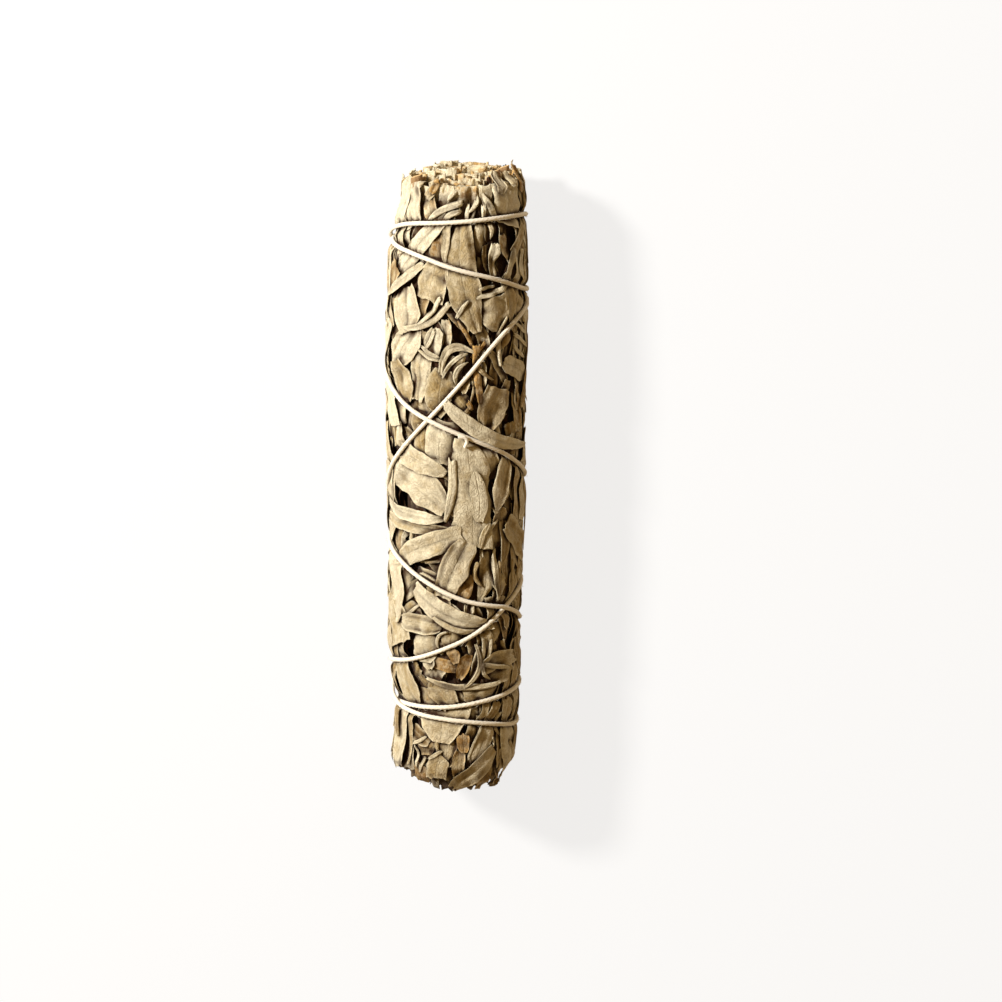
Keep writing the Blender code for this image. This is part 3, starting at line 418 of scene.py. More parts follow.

# Stems: turn, distance from the axis, radius, cut end
STEMS = (
    (-56.0, 11.8, 1.50, 77.2), (-18.0, 11.2, 0.95, 75.6), (55.0, 12.0, 1.05, 78.6),
    (96.0, 11.9, 1.40, 78.8), (176.0, 11.0, 1.30, 77.6), (240.0, 11.8, 1.15, 76.4),
    (0.0, 0.0, 1.35, 76.8),
)
STEM_ROOT = -38.0
STEM_TAPER = 0.62
STEM_BEND = 0.3
STEM_FIT = 0.94
STEM_CLEAR = 0.9        # from a stem to the cut leaves round it
STEM_RIDGES = (0.045, 0.02)
STEM_KNOTS = 0.05
STEM_ROUGH = 0.012
STEM_END_ROWS = 6
STEM_GRID = (150, 22)

# The rings of a stem's cut end: the share of its radius, how far they stand out
STEM_CUT = ((0.97, 0.0), (0.90, -0.06), (0.62, 0.05), (0.34, 0.02), (0.24, -0.22), (0.0, -0.26))
STEM_CUT_SLOPE = 0.35
STEM_CUT_BACK = 0.4

# Colours of the leaves
LEAF_DEEP = (0.15, 0.083, 0.026, 1.0)
LEAF_OLIVE = (0.42, 0.30, 0.12, 1.0)
LEAF_CREAM = (0.82, 0.75, 0.56, 1.0)
LEAF_VEIN = (0.74, 0.67, 0.48, 1.0)
LEAF_RIM = (0.88, 0.80, 0.58, 1.0)
LEAF_BROWN = (0.31, 0.185, 0.075, 1.0)
BROWN_RIM = (0.80, 0.50, 0.16, 1.0)
# Darkens fibre specks, and the wrinkle valleys as painted shade
LEAF_FLECK_AND_WRINKLE_SHADE = (0.35, 0.26, 0.14, 1.0)
# The colour of the painted shade between the leaves
PAINTED_CREVICE_SHADE = (0.065, 0.027, 0.007, 1.0)

# Colours of the stems and the twine, each from dark to pale
BARK = ((0.17, 0.085, 0.035, 1.0), (0.42, 0.27, 0.13, 1.0))
WOOD = ((0.66, 0.44, 0.19, 1.0), (0.80, 0.60, 0.32, 1.0))
PITH = (0.30, 0.17, 0.07, 1.0)
COTTON = ((0.80, 0.72, 0.55, 1.0), (0.97, 0.93, 0.84, 1.0))

# The floor and the light: the key lamp's sizes are in metres, its energy in watts
WHITE = (1.0, 1.0, 1.0, 1.0)
FLOOR_REACH = 4.0
FLOOR_PAINT = (0.86, 0.86, 0.86, 1.0)
FLOOR_GLOW = 0.82       # the share of white in what is seen of it
KEY_SIZE = 0.095
KEY_ENERGY = 8.6
KEY_COLOUR = (1.0, 0.98, 0.94)
KEY_TOWARD = (-0.67, 0.42, 0.61)
KEY_DISTANCE = 0.75
ROOM_COLOUR = (1.0, 0.64, 0.25, 1.0)
ROOM_STRENGTH = 0.30


def place_camera():
    """A long lens above the bunch, a little toward the cut ends, with +Y upward."""
    data = bpy.data.cameras.new("camera")
    data.lens = LENS
    data.sensor_width = SENSOR
    data.clip_start = 0.05
    data.clip_end = 20.0
    camera = bpy.data.objects.new("camera", data)
    bpy.context.scene.collection.objects.link(camera)
    eye = Vector((LOOK_AT[0], EYE_ALONG, EYE_HEIGHT)) * MM
    back = (eye - Vector(LOOK_AT) * MM).normalized()
    right = Vector((0.0, 1.0, 0.0)).cross(back).normalized()
    up = back.cross(right)
    turn = Matrix((right, up, back)).transposed().to_4x4()
    camera.matrix_world = Matrix.Translation(eye) @ turn
    bpy.context.scene.camera = camera


def ease(share):
    """The smooth step 3 t squared less 2 t cubed of a share held between 0 and 1."""
    share = np.clip(share, 0.0, 1.0)
    return share * share * (3.0 - 2.0 * share)


def wander(rng, count, knots, reach):
    """A line that wanders within reach: random knots joined by smooth steps."""
    values = rng.uniform(-reach, reach, knots)
    place = np.linspace(0.0, knots - 1.0, count)
    low = np.minimum(place.astype(int), knots - 2)
    share = ease(place - low)
    return values[low] * (1 - share) + values[low + 1] * share


def section(along):
    """The middle and the half width of the outline, from its edges by straight lines."""
    left = np.interp(along, OUTLINE[:, 0], OUTLINE[:, 1])
    right = np.interp(along, OUTLINE[:, 0], OUTLINE[:, 2])
    return (left + right) / 2, (right - left) / 2


def tip_line(across):
    """How far along the ragged end reaches at places across the bunch."""
    return np.interp(across, TIP_LINE[:, 0], TIP_LINE[:, 1])


def held_off(distance):
    """A distance from a limit, kept over zero by an exponential once it is short."""
    short = SIDE_EASE * np.exp(np.minimum(distance - SIDE_EASE, 0.0) / SIDE_EASE)
    return np.where(distance < SIDE_EASE, short, distance)


def on_bunch(turn, along, height):
    """Points at a turn in radians, a place along, and a height over the outline.

    The section is two half ellipses, one above the axis and one below, and what
    would be in the ground or past a side is eased up to it by an exponential.
    """
    middle, half = section(along)
    rise = np.cos(turn)
    below = UNDER_REACH + np.minimum(half - FULL_HALF_WIDTH, 0.0)
    reach = np.where(rise > 0, half * UPPER_SHARE, below)
    x = middle + (half + height) * np.sin(turn)
    z = AXIS_HEIGHT + (reach + height) * rise
    eased = GROUND_EASE * np.exp(np.minimum(z - GROUND_EASE, 0.0) / GROUND_EASE)
    z = np.where(z < GROUND_EASE, eased, z)
    z = HIGHEST - held_off(HIGHEST - z)
    x = SIDE_LIMITS[0] + held_off(x - SIDE_LIMITS[0])
    x = SIDE_LIMITS[1] - held_off(SIDE_LIMITS[1] - x)
    along = np.clip(along, *ENDS)
    return np.stack(np.broadcast_arrays(x, along, z), axis=-1)


def around_axis(along, turn, distance, middle=0.0):
    """Points at a turn and a distance from the axis, or from a line beside it."""
    x = middle + distance * np.sin(turn)
    z = AXIS_HEIGHT + distance * np.cos(turn)
    return np.stack(np.broadcast_arrays(x, along, z), axis=-1)


def from_picture(across, down):
    """The turn in radians and the place along of points that show in the picture."""
    x = (np.asarray(across, float) - PICTURE_AXIS) / UNITS_PER_MM
    up = (PICTURE_MIDDLE - np.asarray(down, float)) / UNITS_PER_MM
    tilt = np.radians(VIEW_TILT - VIEW_TILT_CHANGE * up / HALF_LENGTH)
    along = up
    turn = np.zeros_like(up)
    for _ in range(4):
        middle, half = section(along)
        turn = np.arcsin(np.clip((x - middle) / half, -EDGE_LIMIT, EDGE_LIMIT))
        along = (up + half * UPPER_SHARE * np.cos(turn) * np.sin(tilt)) / np.cos(tilt)
    return turn, along


def grid_quads(rows, columns, around=False):
    """The quads of a grid of points, row by row, closed round its columns or open."""
    index = np.arange(rows * columns).reshape(rows, columns)
    if around:
        index = np.concatenate([index, index[:, :1]], axis=1)
    corners = [index[:-1, :-1], index[1:, :-1], index[1:, 1:], index[:-1, 1:]]
    return np.stack(corners, axis=-1).reshape(-1, 4)


def shell_quads(rows, columns):
    """The quads of a closed sheet: the upper grid, the lower one, and the rim between."""
    upper = grid_quads(rows, columns)
    count = rows * columns
    index = np.arange(count).reshape(rows, columns)
    border = np.concatenate([index[0, :], index[1:, -1], index[-1, -2::-1], index[-2:0:-1, 0]])
    after = np.roll(border, -1)
    rim = np.stack([border, after, after + count, border + count], axis=-1)
    return np.concatenate([upper, upper[:, ::-1] + count, rim])


class Batch:
    """Sheets and tubes that are gathered into one mesh."""

    def __init__(self):
        self.points = []
        self.quads = []
        self.marks = []
        self.flat = []
        self.count = 0

    def add(self, points, quads, marks, flat):
        """Take points in millimetres, quads, four marks a point, and flat places a point."""
        self.points.append(points.reshape(-1, 3))
        self.quads.append(quads + self.count)
        self.marks.append(marks.reshape(-1, 4))
        self.flat.append(flat.reshape(-1, 2))
        self.count += self.points[-1].shape[0]

    def build(self, name, material):
        """The object: smooth faces, marks as a colour attribute, flat places as its UV map."""
        points = np.concatenate(self.points) * MM
        quads = np.concatenate(self.quads).astype(np.int32)
        mesh = bpy.data.meshes.new(name)
        mesh.vertices.add(len(points))
        mesh.vertices.foreach_set("co", points.astype(np.float32).ravel())
        mesh.loops.add(quads.size)
        mesh.loops.foreach_set("vertex_index", quads.ravel())
        mesh.polygons.add(len(quads))
        mesh.polygons.foreach_set("loop_start", np.arange(0, quads.size, 4, dtype=np.int32))
        mesh.polygons.foreach_set("use_smooth", np.ones(len(quads), dtype=bool))
        mesh.update(calc_edges=True)
        marks = mesh.attributes.new("marks", "FLOAT_COLOR", "POINT")
        marks.data.foreach_set("color", np.concatenate(self.marks).astype(np.float32).ravel())
        flat = mesh.uv_layers.new(name="flat")
        flat.data.foreach_set("uv", np.concatenate(self.flat)[quads.ravel()].astype(np.float32).ravel())
        mesh.materials.append(material)
        made = bpy.data.objects.new(name, mesh)
        bpy.context.scene.collection.objects.link(made)
        return made


def heap_cells(around, along):
    """The cells of the heap under unrolled places, which close round the bunch."""
    one = np.floor(around / (2 * math.pi * MEAN_RADIUS) * HEAP_ROUND).astype(int) % HEAP_ROUND
    share = (along - HEAP_ALONG[0]) / (HEAP_ALONG[1] - HEAP_ALONG[0])
    other = np.clip(np.floor(share * HEAP_LONG).astype(int), 0, HEAP_LONG - 1)
    return one, other


def core_sunk(turn):
    """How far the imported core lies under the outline, less by the sine to the eighth."""
    return CORE_SUNK - CORE_SIDE_RISE * np.sin(turn) ** 8


def core_heights():
    """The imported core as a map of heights, with the stems that stand out of it.

    Seen from the middle of the section, a stem's far side is where a line at
    each turn leaves its circle.
    """
    turn = (np.arange(HEAP_ROUND)[:, None] + 0.5) / HEAP_ROUND * 2 * math.pi
    along = np.linspace(*HEAP_ALONG, HEAP_LONG)[None, :]
    middle, half = section(along)
    core = -core_sunk(turn) * np.ones_like(along)
    for stem_turn, distance, radius, end in STEMS:
        x = distance * math.sin(math.radians(stem_turn)) - middle
        z = distance * math.cos(math.radians(stem_turn))
        outward = x * np.sin(turn) + z * np.cos(turn)
        aside = x * np.cos(turn) - z * np.sin(turn)
        far = outward + np.sqrt(np.clip(radius ** 2 - aside ** 2, 0.0, None)) - half
        core = np.where((np.abs(aside) < radius) & (outward > 0) & (along < end), np.maximum(core, far), core)
    return np.minimum(core, STEM_SUNK)


def read_heap(heap, around, along):
    """Heights between the middles of cells, by straight lines both ways."""
    one = around / (2 * math.pi * MEAN_RADIUS) * HEAP_ROUND - 0.5
    other = (along - HEAP_ALONG[0]) / (HEAP_ALONG[1] - HEAP_ALONG[0]) * HEAP_LONG - 0.5
    other = np.clip(other, 0.0, HEAP_LONG - 1.001)
    a = np.floor(one).astype(int)
    b = np.floor(other).astype(int)
    s = one - a
    t = other - b
    first = heap[a % HEAP_ROUND, b] * (1 - s) + heap[(a + 1) % HEAP_ROUND, b] * s
    second = heap[a % HEAP_ROUND, b + 1] * (1 - s) + heap[(a + 1) % HEAP_ROUND, b + 1] * s
    return first * (1 - t) + second * t


def blur(heap, times):
    """The heap averaged with its neighbours a number of times."""
    for _ in range(times):
        heap = (np.roll(heap, 1, axis=0) + 2 * heap + np.roll(heap, -1, axis=0)) / 4
        wide = np.pad(heap, ((0, 0), (1, 1)), mode="edge")
        heap = (wide[:, :-2] + 2 * wide[:, 1:-1] + wide[:, 2:]) / 4
    return heap


def refine(grid):
    """A grid with the middles between its rows and columns put in."""
    rows, columns = grid.shape
    wide = np.empty((rows, 2 * columns - 1))
    wide[:, ::2] = grid
    wide[:, 1::2] = (grid[:, :-1] + grid[:, 1:]) / 2
    full = np.empty((2 * rows - 1, 2 * columns - 1))
    full[::2] = wide
    full[1::2] = (wide[:-1] + wide[1:]) / 2
    return full


def pile_up(heap, around, along, height):
    """Raise the heap to the upper face of a leaf that has been laid."""
    for _ in range(2):
        around = refine(around)
        along = refine(along)
        height = refine(height)
    one, other = heap_cells(around, along)
    np.maximum.at(heap, (one, other), height)


def upper_line(needed, reach):
    """A smooth line over the needed heights, as a springy leaf would lie on them."""
    kernel = np.hanning(2 * reach + 3)[1:-1]
    kernel /= kernel.sum()
    line = needed
    for _ in range(3):
        line = np.maximum(needed, np.convolve(np.pad(line, reach, mode="edge"), kernel, mode="valid"))
    return np.convolve(np.pad(line, reach, mode="edge"), kernel, mode="valid")


def broken_line(rng, count, knots, reach):
    """A jagged line within reach: random knots joined by straight lines."""
    values = rng.uniform(-reach, reach, knots)
    return np.interp(np.linspace(0.0, knots - 1.0, count), np.arange(knots), values)


def crumple(rng, run, across, size):
    """Heights of flat facets about a size wide: random corners on a skewed net of triangles."""
    skew = rng.uniform(-0.7, 0.7)
    one = (run + skew * across) / size + rng.uniform(0.0, 1.0) + 40.0
    other = (across - skew * 0.6 * run) / size + rng.uniform(0.0, 1.0) + 40.0
    net = rng.uniform(-1.0, 1.0, (120, 120))
    a = np.floor(one).astype(int)
    b = np.floor(other).astype(int)
    s = one - a
    t = other - b
    first = net[a, b] + s * (net[a + 1, b] - net[a, b]) + t * (net[a + 1, b + 1] - net[a + 1, b])
    second = net[a, b] + t * (net[a, b + 1] - net[a, b]) + s * (net[a + 1, b + 1] - net[a, b + 1])
    return np.where(s > t, first, second)


def rolled_relief(rng, run, across, half, v, knots):
    """The heights of a rolled leaf: a low ridge, part half ellipse and part tent."""
    shape = (RIDGE_ROUND * np.sqrt(np.clip(1 - v * v, 0.0, 1.0)) + RIDGE_TENT * (1 - np.abs(v))) * half
    uneven = rng.uniform(-RIDGE_WAVE, RIDGE_WAVE, 5)
    shape = shape + np.interp(v, np.linspace(-1.0, 1.0, 5), uneven)
    waves = wander(rng, len(run), knots, RIDGE_WAVE)[:, None]
    return shape + waves + SMALL_FACET * crumple(rng, run, across, 1.4)


def flat_relief(rng, run, across, length, width, t, v, knots, limp):
    """The heights of a flat leaf over its own plane.

    They are a slight camber of 1 less v squared, a tilt, long creases, crumpled
    facets, sine ripples, edges that curl up or down by the square of how far v is
    past the start of the curl, a lifted tip, and a sunken mid vein. A limp share
    scales all but the camber, the tilt and the vein.
    """
    rows = len(t)
    size = min(width / FULL_SIZE, SIZE_MOST)
    shape = rng.normal(*CAMBER) * size * (1 - v * v)
    shape = shape + rng.uniform(*EDGE_TILT) * size * np.abs(v) * wander(rng, rows, 4, 1.0)[:, None]
    creases = rng.uniform(-1.0, 1.0, 7) * rng.uniform(*CREASES) * size * limp
    drift = CREASE_DRIFT * wander(rng, rows, 4, 1.0)[:, None]
    shape = shape + np.interp(v + drift, np.linspace(-1.3, 1.3, 7), creases)
    shape = shape + rng.uniform(*FACETS) * limp * crumple(rng, run, across, rng.uniform(*FACET_SIZES))
    shape = shape + SMALL_FACET * limp * crumple(rng, run, across, SMALL_FACET_SIZE)
    ripple = rng.uniform(*RIPPLES) * limp
    pace = length / rng.uniform(*RIPPLE_LENGTHS)
    phase = rng.uniform(0.0, 6.0)
    lag = rng.uniform(*RIPPLE_LAGS)
    shape = shape + ripple * np.sin(2 * math.pi * t * pace + phase + lag * v) * (0.25 + 0.75 * v * v)
    for way in (-1, 1):
        edge = np.clip((way * v - CURL_START) / (1 - CURL_START), 0.0, 1.0) ** 2
        curl = rng.normal(*CURL) + wander(rng, rows, max(3, knots // 2), CURL[1])[:, None]
        shape = shape + curl * limp * edge * min(size + 0.2, 1.0)
    tip = np.clip((t - TIP_LIFT_START) / (1 - TIP_LIFT_START), 0.0, 1.0) ** 2
    shape = shape + rng.normal(*TIP_LIFT) * limp * tip
    return shape - rng.uniform(0.0, VEIN_DEPTH) * np.exp(-(across / VEIN_WIDTH) ** 2)


def leaf_sheet(start, end, width, bow, rng, blunt=0.3, rolled=False, limp=1.0, fine=1.0):
    """One leaf over the unrolled bunch: places round and along, shape, and its own marks.

    Along the leaf t runs from 0 to 1, and v from -1 to 1 across it. Half the width
    is a quarter sine up from the root times a quarter sine down to the tip, mixed
    with a broken outline of four corners, and each side is waved and jagged. The
    root is frayed, and a blunt end is torn off aslant. The rim is v to the tenth.
    """
    start = np.array(start, float)
    end = np.array(end, float)
    length = float(np.linalg.norm(end - start))
    way = (end - start) / length
    side = np.array((-way[1], way[0]))
    rows = int(np.clip(round(length / ROW_STEP * fine), *ROW_LIMITS))
    columns = 2 * int(np.clip(round(width * COLUMNS_PER_MM * fine), *COLUMN_LIMITS)) + 1
    if rolled:
        columns = ROLLED_COLUMNS
    t = np.linspace(0.0, 1.0, rows)[:, None]
    v = np.linspace(-1.0, 1.0, columns)[None, :]
    v = np.sign(v) * np.abs(v) ** COLUMN_CROWDING
    if not rolled:
        v[0, [1, -2]] = (-EDGE_LINE, EDGE_LINE)
        t[[1, -2], 0] = (1 - END_LINE, END_LINE)
    root = rng.uniform(*ROOT_WIDTHS)
    rise = root + (1 - root) * np.sin(math.pi / 2 * np.clip(t / SWELL, 0.0, 1.0)) ** 0.8
    narrowing = np.clip((1 - t) / rng.uniform(*TAPERS), 0.0, 1.0)
    fall = blunt + (1 - blunt) * np.sin(math.pi / 2 * narrowing) ** 0.7
    knots = max(3, round(length / KNOT_STEP))
    if not rolled:
        broken = rng.uniform(0.0, BROKEN_MOST)
        corners = (0.0, rng.uniform(*FIRST_CORNERS), rng.uniform(*SECOND_CORNERS), 1.0)
        widths = (root, rng.uniform(*FIRST_WIDTHS), rng.uniform(*SECOND_WIDTHS), blunt + END_WIDTH)
        rise = (1 - broken) * rise * fall + broken * np.interp(t, corners, widths)
        fall = 1.0
    sides = []
    for _ in range(2):
        waved = 1 + wander(rng, rows, knots, ROLLED_WAVE if rolled else EDGE_WAVE)[:, None]
        sides.append(waved + broken_line(rng, rows, 3 * knots, EDGE_JAG)[:, None])
    half = width / 2 * rise * fall * np.where(v < 0, *sides)
    across = half * v
    slant = rng.uniform(-END_SLANT, END_SLANT) * blunt * width / 2
    jag, depth, deepest = END_TEAR
    torn = broken_line(rng, columns, 8, jag) * blunt * min(width * depth, deepest) + slant * v[0]
    frayed = broken_line(rng, columns, 7, ROOT_FRAY) * root
    run = t * length + torn * t ** 5 + frayed * (1 - t) ** 5
    drift = wander(rng, rows, max(3, round(length / DRIFT_STEP)), DRIFT)[:, None]
    curve = bow * 4 * t * (1 - t) + drift
    if rolled:
        shape = rolled_relief(rng, run, across, half, v, knots)
    else:
        shape = flat_relief(rng, run, across, length, width, t, v, knots, limp)
    tip = np.clip((t - 0.975) / 0.025, 0.0, 1.0)
    return {
        "around": start[0] + way[0] * run + side[0] * (across + curve),
        "along": start[1] + way[1] * run + side[1] * (across + curve),
        "shape": shape,
        "rim": np.clip(np.abs(v) ** 10 + 0.7 * tip, 0.0, 1.0),
        "flat": np.stack([run, across], axis=-1),
        "soft": max(2, rows // 7),
    }


def lay(heap, leaf):
    """Lay a leaf on the heap: its height follows what is under it, row by row.

    Each row rests on the highest place under each side, and the line of rests is
    smoothed along the leaf, so the leaf bends and tilts and doesn't crumple.
    """
    one, other = heap_cells(leaf["around"], leaf["along"])
    needed = heap[one, other] + LEAF_GAP + LEAF_THICK - leaf["shape"]
    columns = needed.shape[1]
    middle = columns // 2
    left = upper_line(needed[:, :middle + 1].max(axis=1), leaf["soft"])[:, None]
    right = upper_line(needed[:, middle:].max(axis=1), leaf["soft"])[:, None]
    v = np.linspace(-1.0, 1.0, columns)[None, :]
    leaf["height"] = left * (1 - v) / 2 + right * (1 + v) / 2 + leaf["shape"]
    pile_up(heap, leaf["around"], leaf["along"], leaf["height"])


def pictured_sheet(rng, x1, y1, x2, y2, width, bow=0.0, widened=False, **shape):
    """A leaf sheet between two places in the picture, its width and sag in picture units."""
    turns, alongs = from_picture((x1, x2), (y1, y2))
    width = width / UNITS_PER_MM
    if widened:
        facing = max(math.cos(turns.mean()), LEAST_FACING)
        width = width * (SHOWN_SPREAD + SIDE_WIDEN * (1 / facing - 1))
    start, end = np.stack([turns * MEAN_RADIUS, alongs], axis=-1)
    return leaf_sheet(start, end, width, bow / UNITS_PER_MM, rng, **shape)


def shown_leaves(rng):
    """The leaves, strands and bits that show in the picture, with their layers."""
    made = []
    for *place, bow, layer, blunt in SHOWN_LEAVES:
        leaf = pictured_sheet(rng, *place, bow, widened=True, blunt=blunt)
        leaf["layer"] = 1.0 + layer + rng.uniform(0.0, LAYER_STRAY)
        # The tone is lowered by painted shade on lower layers and raised on the highest
        leaf["tone"] = rng.uniform(*SHOWN_TONES) + LAYER_SHADE_TONES[layer]
        leaf["stain"] = rng.uniform(0.0, 0.25) + (0.4 if layer == 0 and rng.random() < 0.3 else 0.0)
        made.append(leaf)
    for *place, bow, layer in SHOWN_STRANDS:
        leaf = pictured_sheet(rng, *place, bow, rolled=True)
        leaf["layer"] = 1.5 + layer + rng.uniform(0.0, LAYER_STRAY)
        leaf["tone"] = rng.uniform(*STRAND_TONES)
        leaf["stain"] = 0.0
        made.append(leaf)
    for place in BROWN_LEAVES:
        leaf = pictured_sheet(rng, *place, blunt=0.35)
        leaf["rim"] = 0.22 + 0.25 * leaf["rim"]
        made.append(leaf | {"layer": 1.6, "tone": 0.75, "stain": 1.5})
    for place in BROWN_BITS:
        leaf = pictured_sheet(rng, *place, blunt=0.35, rolled=True)
        leaf["rim"] = np.maximum(leaf["rim"], 0.35)
        made.append(leaf | {"layer": 2.2, "tone": 0.75, "stain": 2.0})
    return made


def scattered(rng, turns, pitch, lengths, widths, slant, layers, narrow, fine):
    """Leaves by a rule: columns at some turns, roots a pitch apart along, each slanted."""
    made = []
    for turn in turns:
        upper = max(math.cos(math.radians(turn)), 0.0) ** 1.5
        along = SCATTER_ENDS[1] - SCATTER_DROP * upper - rng.uniform(0.0, 0.7 * pitch)
        while along > SCATTER_ENDS[0]:
            rolled = rng.random() < narrow
            length = rng.uniform(*lengths)
            width = rng.uniform(*ROLLED_WIDTHS) if rolled else rng.uniform(*widths)
            lean = rng.normal(0.0, slant)
            swing = length * math.sin(lean)
            middle = math.radians(turn + rng.uniform(-SCATTER_STRAY, SCATTER_STRAY)) * MEAN_RADIUS
            start = middle - swing / 2
            across = HALF_WIDTH * math.sin((start + swing / 2) / MEAN_RADIUS)
            lowest = tip_line(across) + rng.uniform(*SCATTER_RAGGED)
            end = max(along - length * math.cos(lean), lowest)
            if along - end < SHORTEST:
                break
            blunt = float(rng.choice(SCATTER_BLUNTS))
            if end == lowest:
                blunt = rng.uniform(*TIP_END_BLUNTS)
            bow = rng.normal(0.0, 1.0)
            leaf = leaf_sheet((start, along), (start + swing, end), width, bow, rng,
                              blunt=blunt, rolled=rolled, fine=fine)
            leaf["layer"] = float(rng.choice(layers)) + rng.uniform(0.0, 0.9) + (0.6 if rolled else 0.0)
            leaf["tone"] = rng.uniform(*SCATTER_TONES)
            leaf["stain"] = rng.uniform(0.0, 0.3) + (0.6 if rng.random() < 0.08 else 0.0)
            made.append(leaf)
            along -= pitch * rng.uniform(0.7, 1.3)
    return made


def twine_route():
    """The winding: how far along the twine is at each turn, evenly stepped."""
    turns = [KNOT_TURN]
    alongs = [TWINE_START_ALONG]
    for index, (shown, hidden) in enumerate(zip(TWINE_PASSES, TWINE_RETURNS)):
        base = -360.0 * index
        turn, along = from_picture([row[0] for row in shown], [row[1] for row in shown])
        turns.extend(base + np.degrees(turn))
        alongs.extend(along)
        turns.extend(base + row[0] - 360.0 for row in hidden)
        alongs.extend(row[1] for row in hidden)
    total = 360.0 * len(TWINE_PASSES)
    stepped = np.linspace(KNOT_TURN, KNOT_TURN - total, int(total / TWINE_STEP) + 1)
    fine = np.interp(-stepped, -np.array(turns), np.array(alongs))
    eased = fine.copy()
    eased[1:-1] = 0.25 * fine[:-2] + 0.5 * fine[1:-1] + 0.25 * fine[2:]
    return stepped, eased


def twine_lifts(turns, alongs):
    """How far each point stands off its place: strands wound first dip, later ones pass over."""
    around = round(360.0 / TWINE_STEP)
    pairs = []
    for one in range(around, len(turns)):
        for earlier in range(one % around or around, one - around + 1, around):
            before = alongs[one - 1] - alongs[earlier - 1]
            now = alongs[one] - alongs[earlier]
            if before * now <= 0 or abs(now) < CROSSING_REACH:
                near = 1.0 if before * now <= 0 else 1 - abs(now) / CROSSING_REACH
                pairs.append((one, earlier, min(1.0, CROSSING_SHARE + near)))
    dips = np.zeros(len(turns))
    rises = np.zeros(len(turns))
    for _, earlier, share in pairs:
        dips[earlier] = max(dips[earlier], TWINE_DIP * share)
    for one, earlier, share in pairs:
        rises[one] = max(rises[one], rises[earlier] - dips[earlier] + TWINE_LIFT * share)
    for level in (dips, rises):
        spread = level.copy()
        spread[1:] = np.maximum(spread[1:], LIFT_SPREAD * level[:-1])
        spread[:-1] = np.maximum(spread[:-1], LIFT_SPREAD * level[1:])
        level[:] = spread
    rises[-1] = min(rises[-1], KNOT_LIFT)
    return rises - dips


def through(values, steps):
    """A smooth line through values at even places, by cubic arcs through four at a time."""
    padded = np.concatenate([values[:1], values, values[-1:]])
    share = np.arange(steps)[None, :] / steps
    p, q, r, s = (padded[k:len(values) - 1 + k][:, None] for k in range(4))
    line = 2 * q + (r - p) * share + (2 * p - 5 * q + 4 * r - s) * share ** 2
    line = 0.5 * (line + (3 * q - p - 3 * r + s) * share ** 3)
    return np.concatenate([line.ravel(), values[-1:]])


def tube(path, outward, radius, sides, plies=0):
    """A closed tube along a path, its sections set square to it by an outward direction.

    Round a twisted cord the radius rises from the valley between two plies by a power
    of the size of the cosine of half the plies times the angle less the twist.
    """
    way = np.gradient(path, axis=0)
    way /= np.linalg.norm(way, axis=1)[:, None]
    across = np.cross(way, outward)
    across /= np.linalg.norm(across, axis=1)[:, None]
    third = np.cross(across, way)
    steps = np.linalg.norm(np.diff(path, axis=0), axis=1)
    run = np.concatenate([[0.0], np.cumsum(steps)])
    angle = np.linspace(0.0, 2 * math.pi, sides, endpoint=False)[None, :]
    reach = np.broadcast_to(np.asarray(radius, float), (len(path),))[:, None] * np.ones_like(angle)
    twist = 2 * math.pi * run[:, None] / PLY_PITCH
    if plies:
        swell = np.abs(np.cos(plies / 2 * (angle - twist))) ** PLY_ROUND
        reach = reach * (PLY_VALLEY + (1 - PLY_VALLEY) * swell)
    turned = np.cos(angle)[..., None] * across[:, None, :] + np.sin(angle)[..., None] * third[:, None, :]
    points = path[:, None, :] + reach[..., None] * turned
    flat = np.stack([run[:, None] * np.ones_like(angle), (angle - twist) * np.mean(reach)], axis=-1)
    first = path[0] - way[0] * reach[0, 0] * 0.3
    last = path[-1] + way[-1] * reach[-1, 0] * 0.3
    points = drawn_together(points, first, last)
    return points, np.concatenate([flat[:1], flat, flat[-1:]])


def drawn_together(ring, first, last):
    """Rows of points round a closed section, with a row drawn to one point at each end."""
    first, last = (np.repeat(point[None, None], ring.shape[1], 1) for point in (first, last))
    return np.concatenate([first, ring, last])


def twine_line():
    """The middle line of the twine, unrolled: turns in radians, places along, heights."""
    turns, alongs = twine_route()
    heights = twine_lifts(turns, alongs) - TWINE_SUNK
    turns, alongs, heights = (through(line, TWINE_FINE) for line in (turns, alongs, heights))
    return np.radians(turns), alongs, heights


def facing_out(turn):
    """The way straight out of the bunch at a turn."""
    return np.stack([np.sin(turn), 0.0 * turn, np.cos(turn)], axis=-1)


def add_cord(batch, line, out, radius, sides=KNOT_SIDES):
    """Put a stretch of twisted cord into a batch."""
    points, flat = tube(line, out, radius, sides, plies=PLIES)
    marks = np.zeros((*points.shape[:2], 4))
    marks[..., 0] = 0.5
    batch.add(points, grid_quads(points.shape[0], sides, around=True), marks, flat)


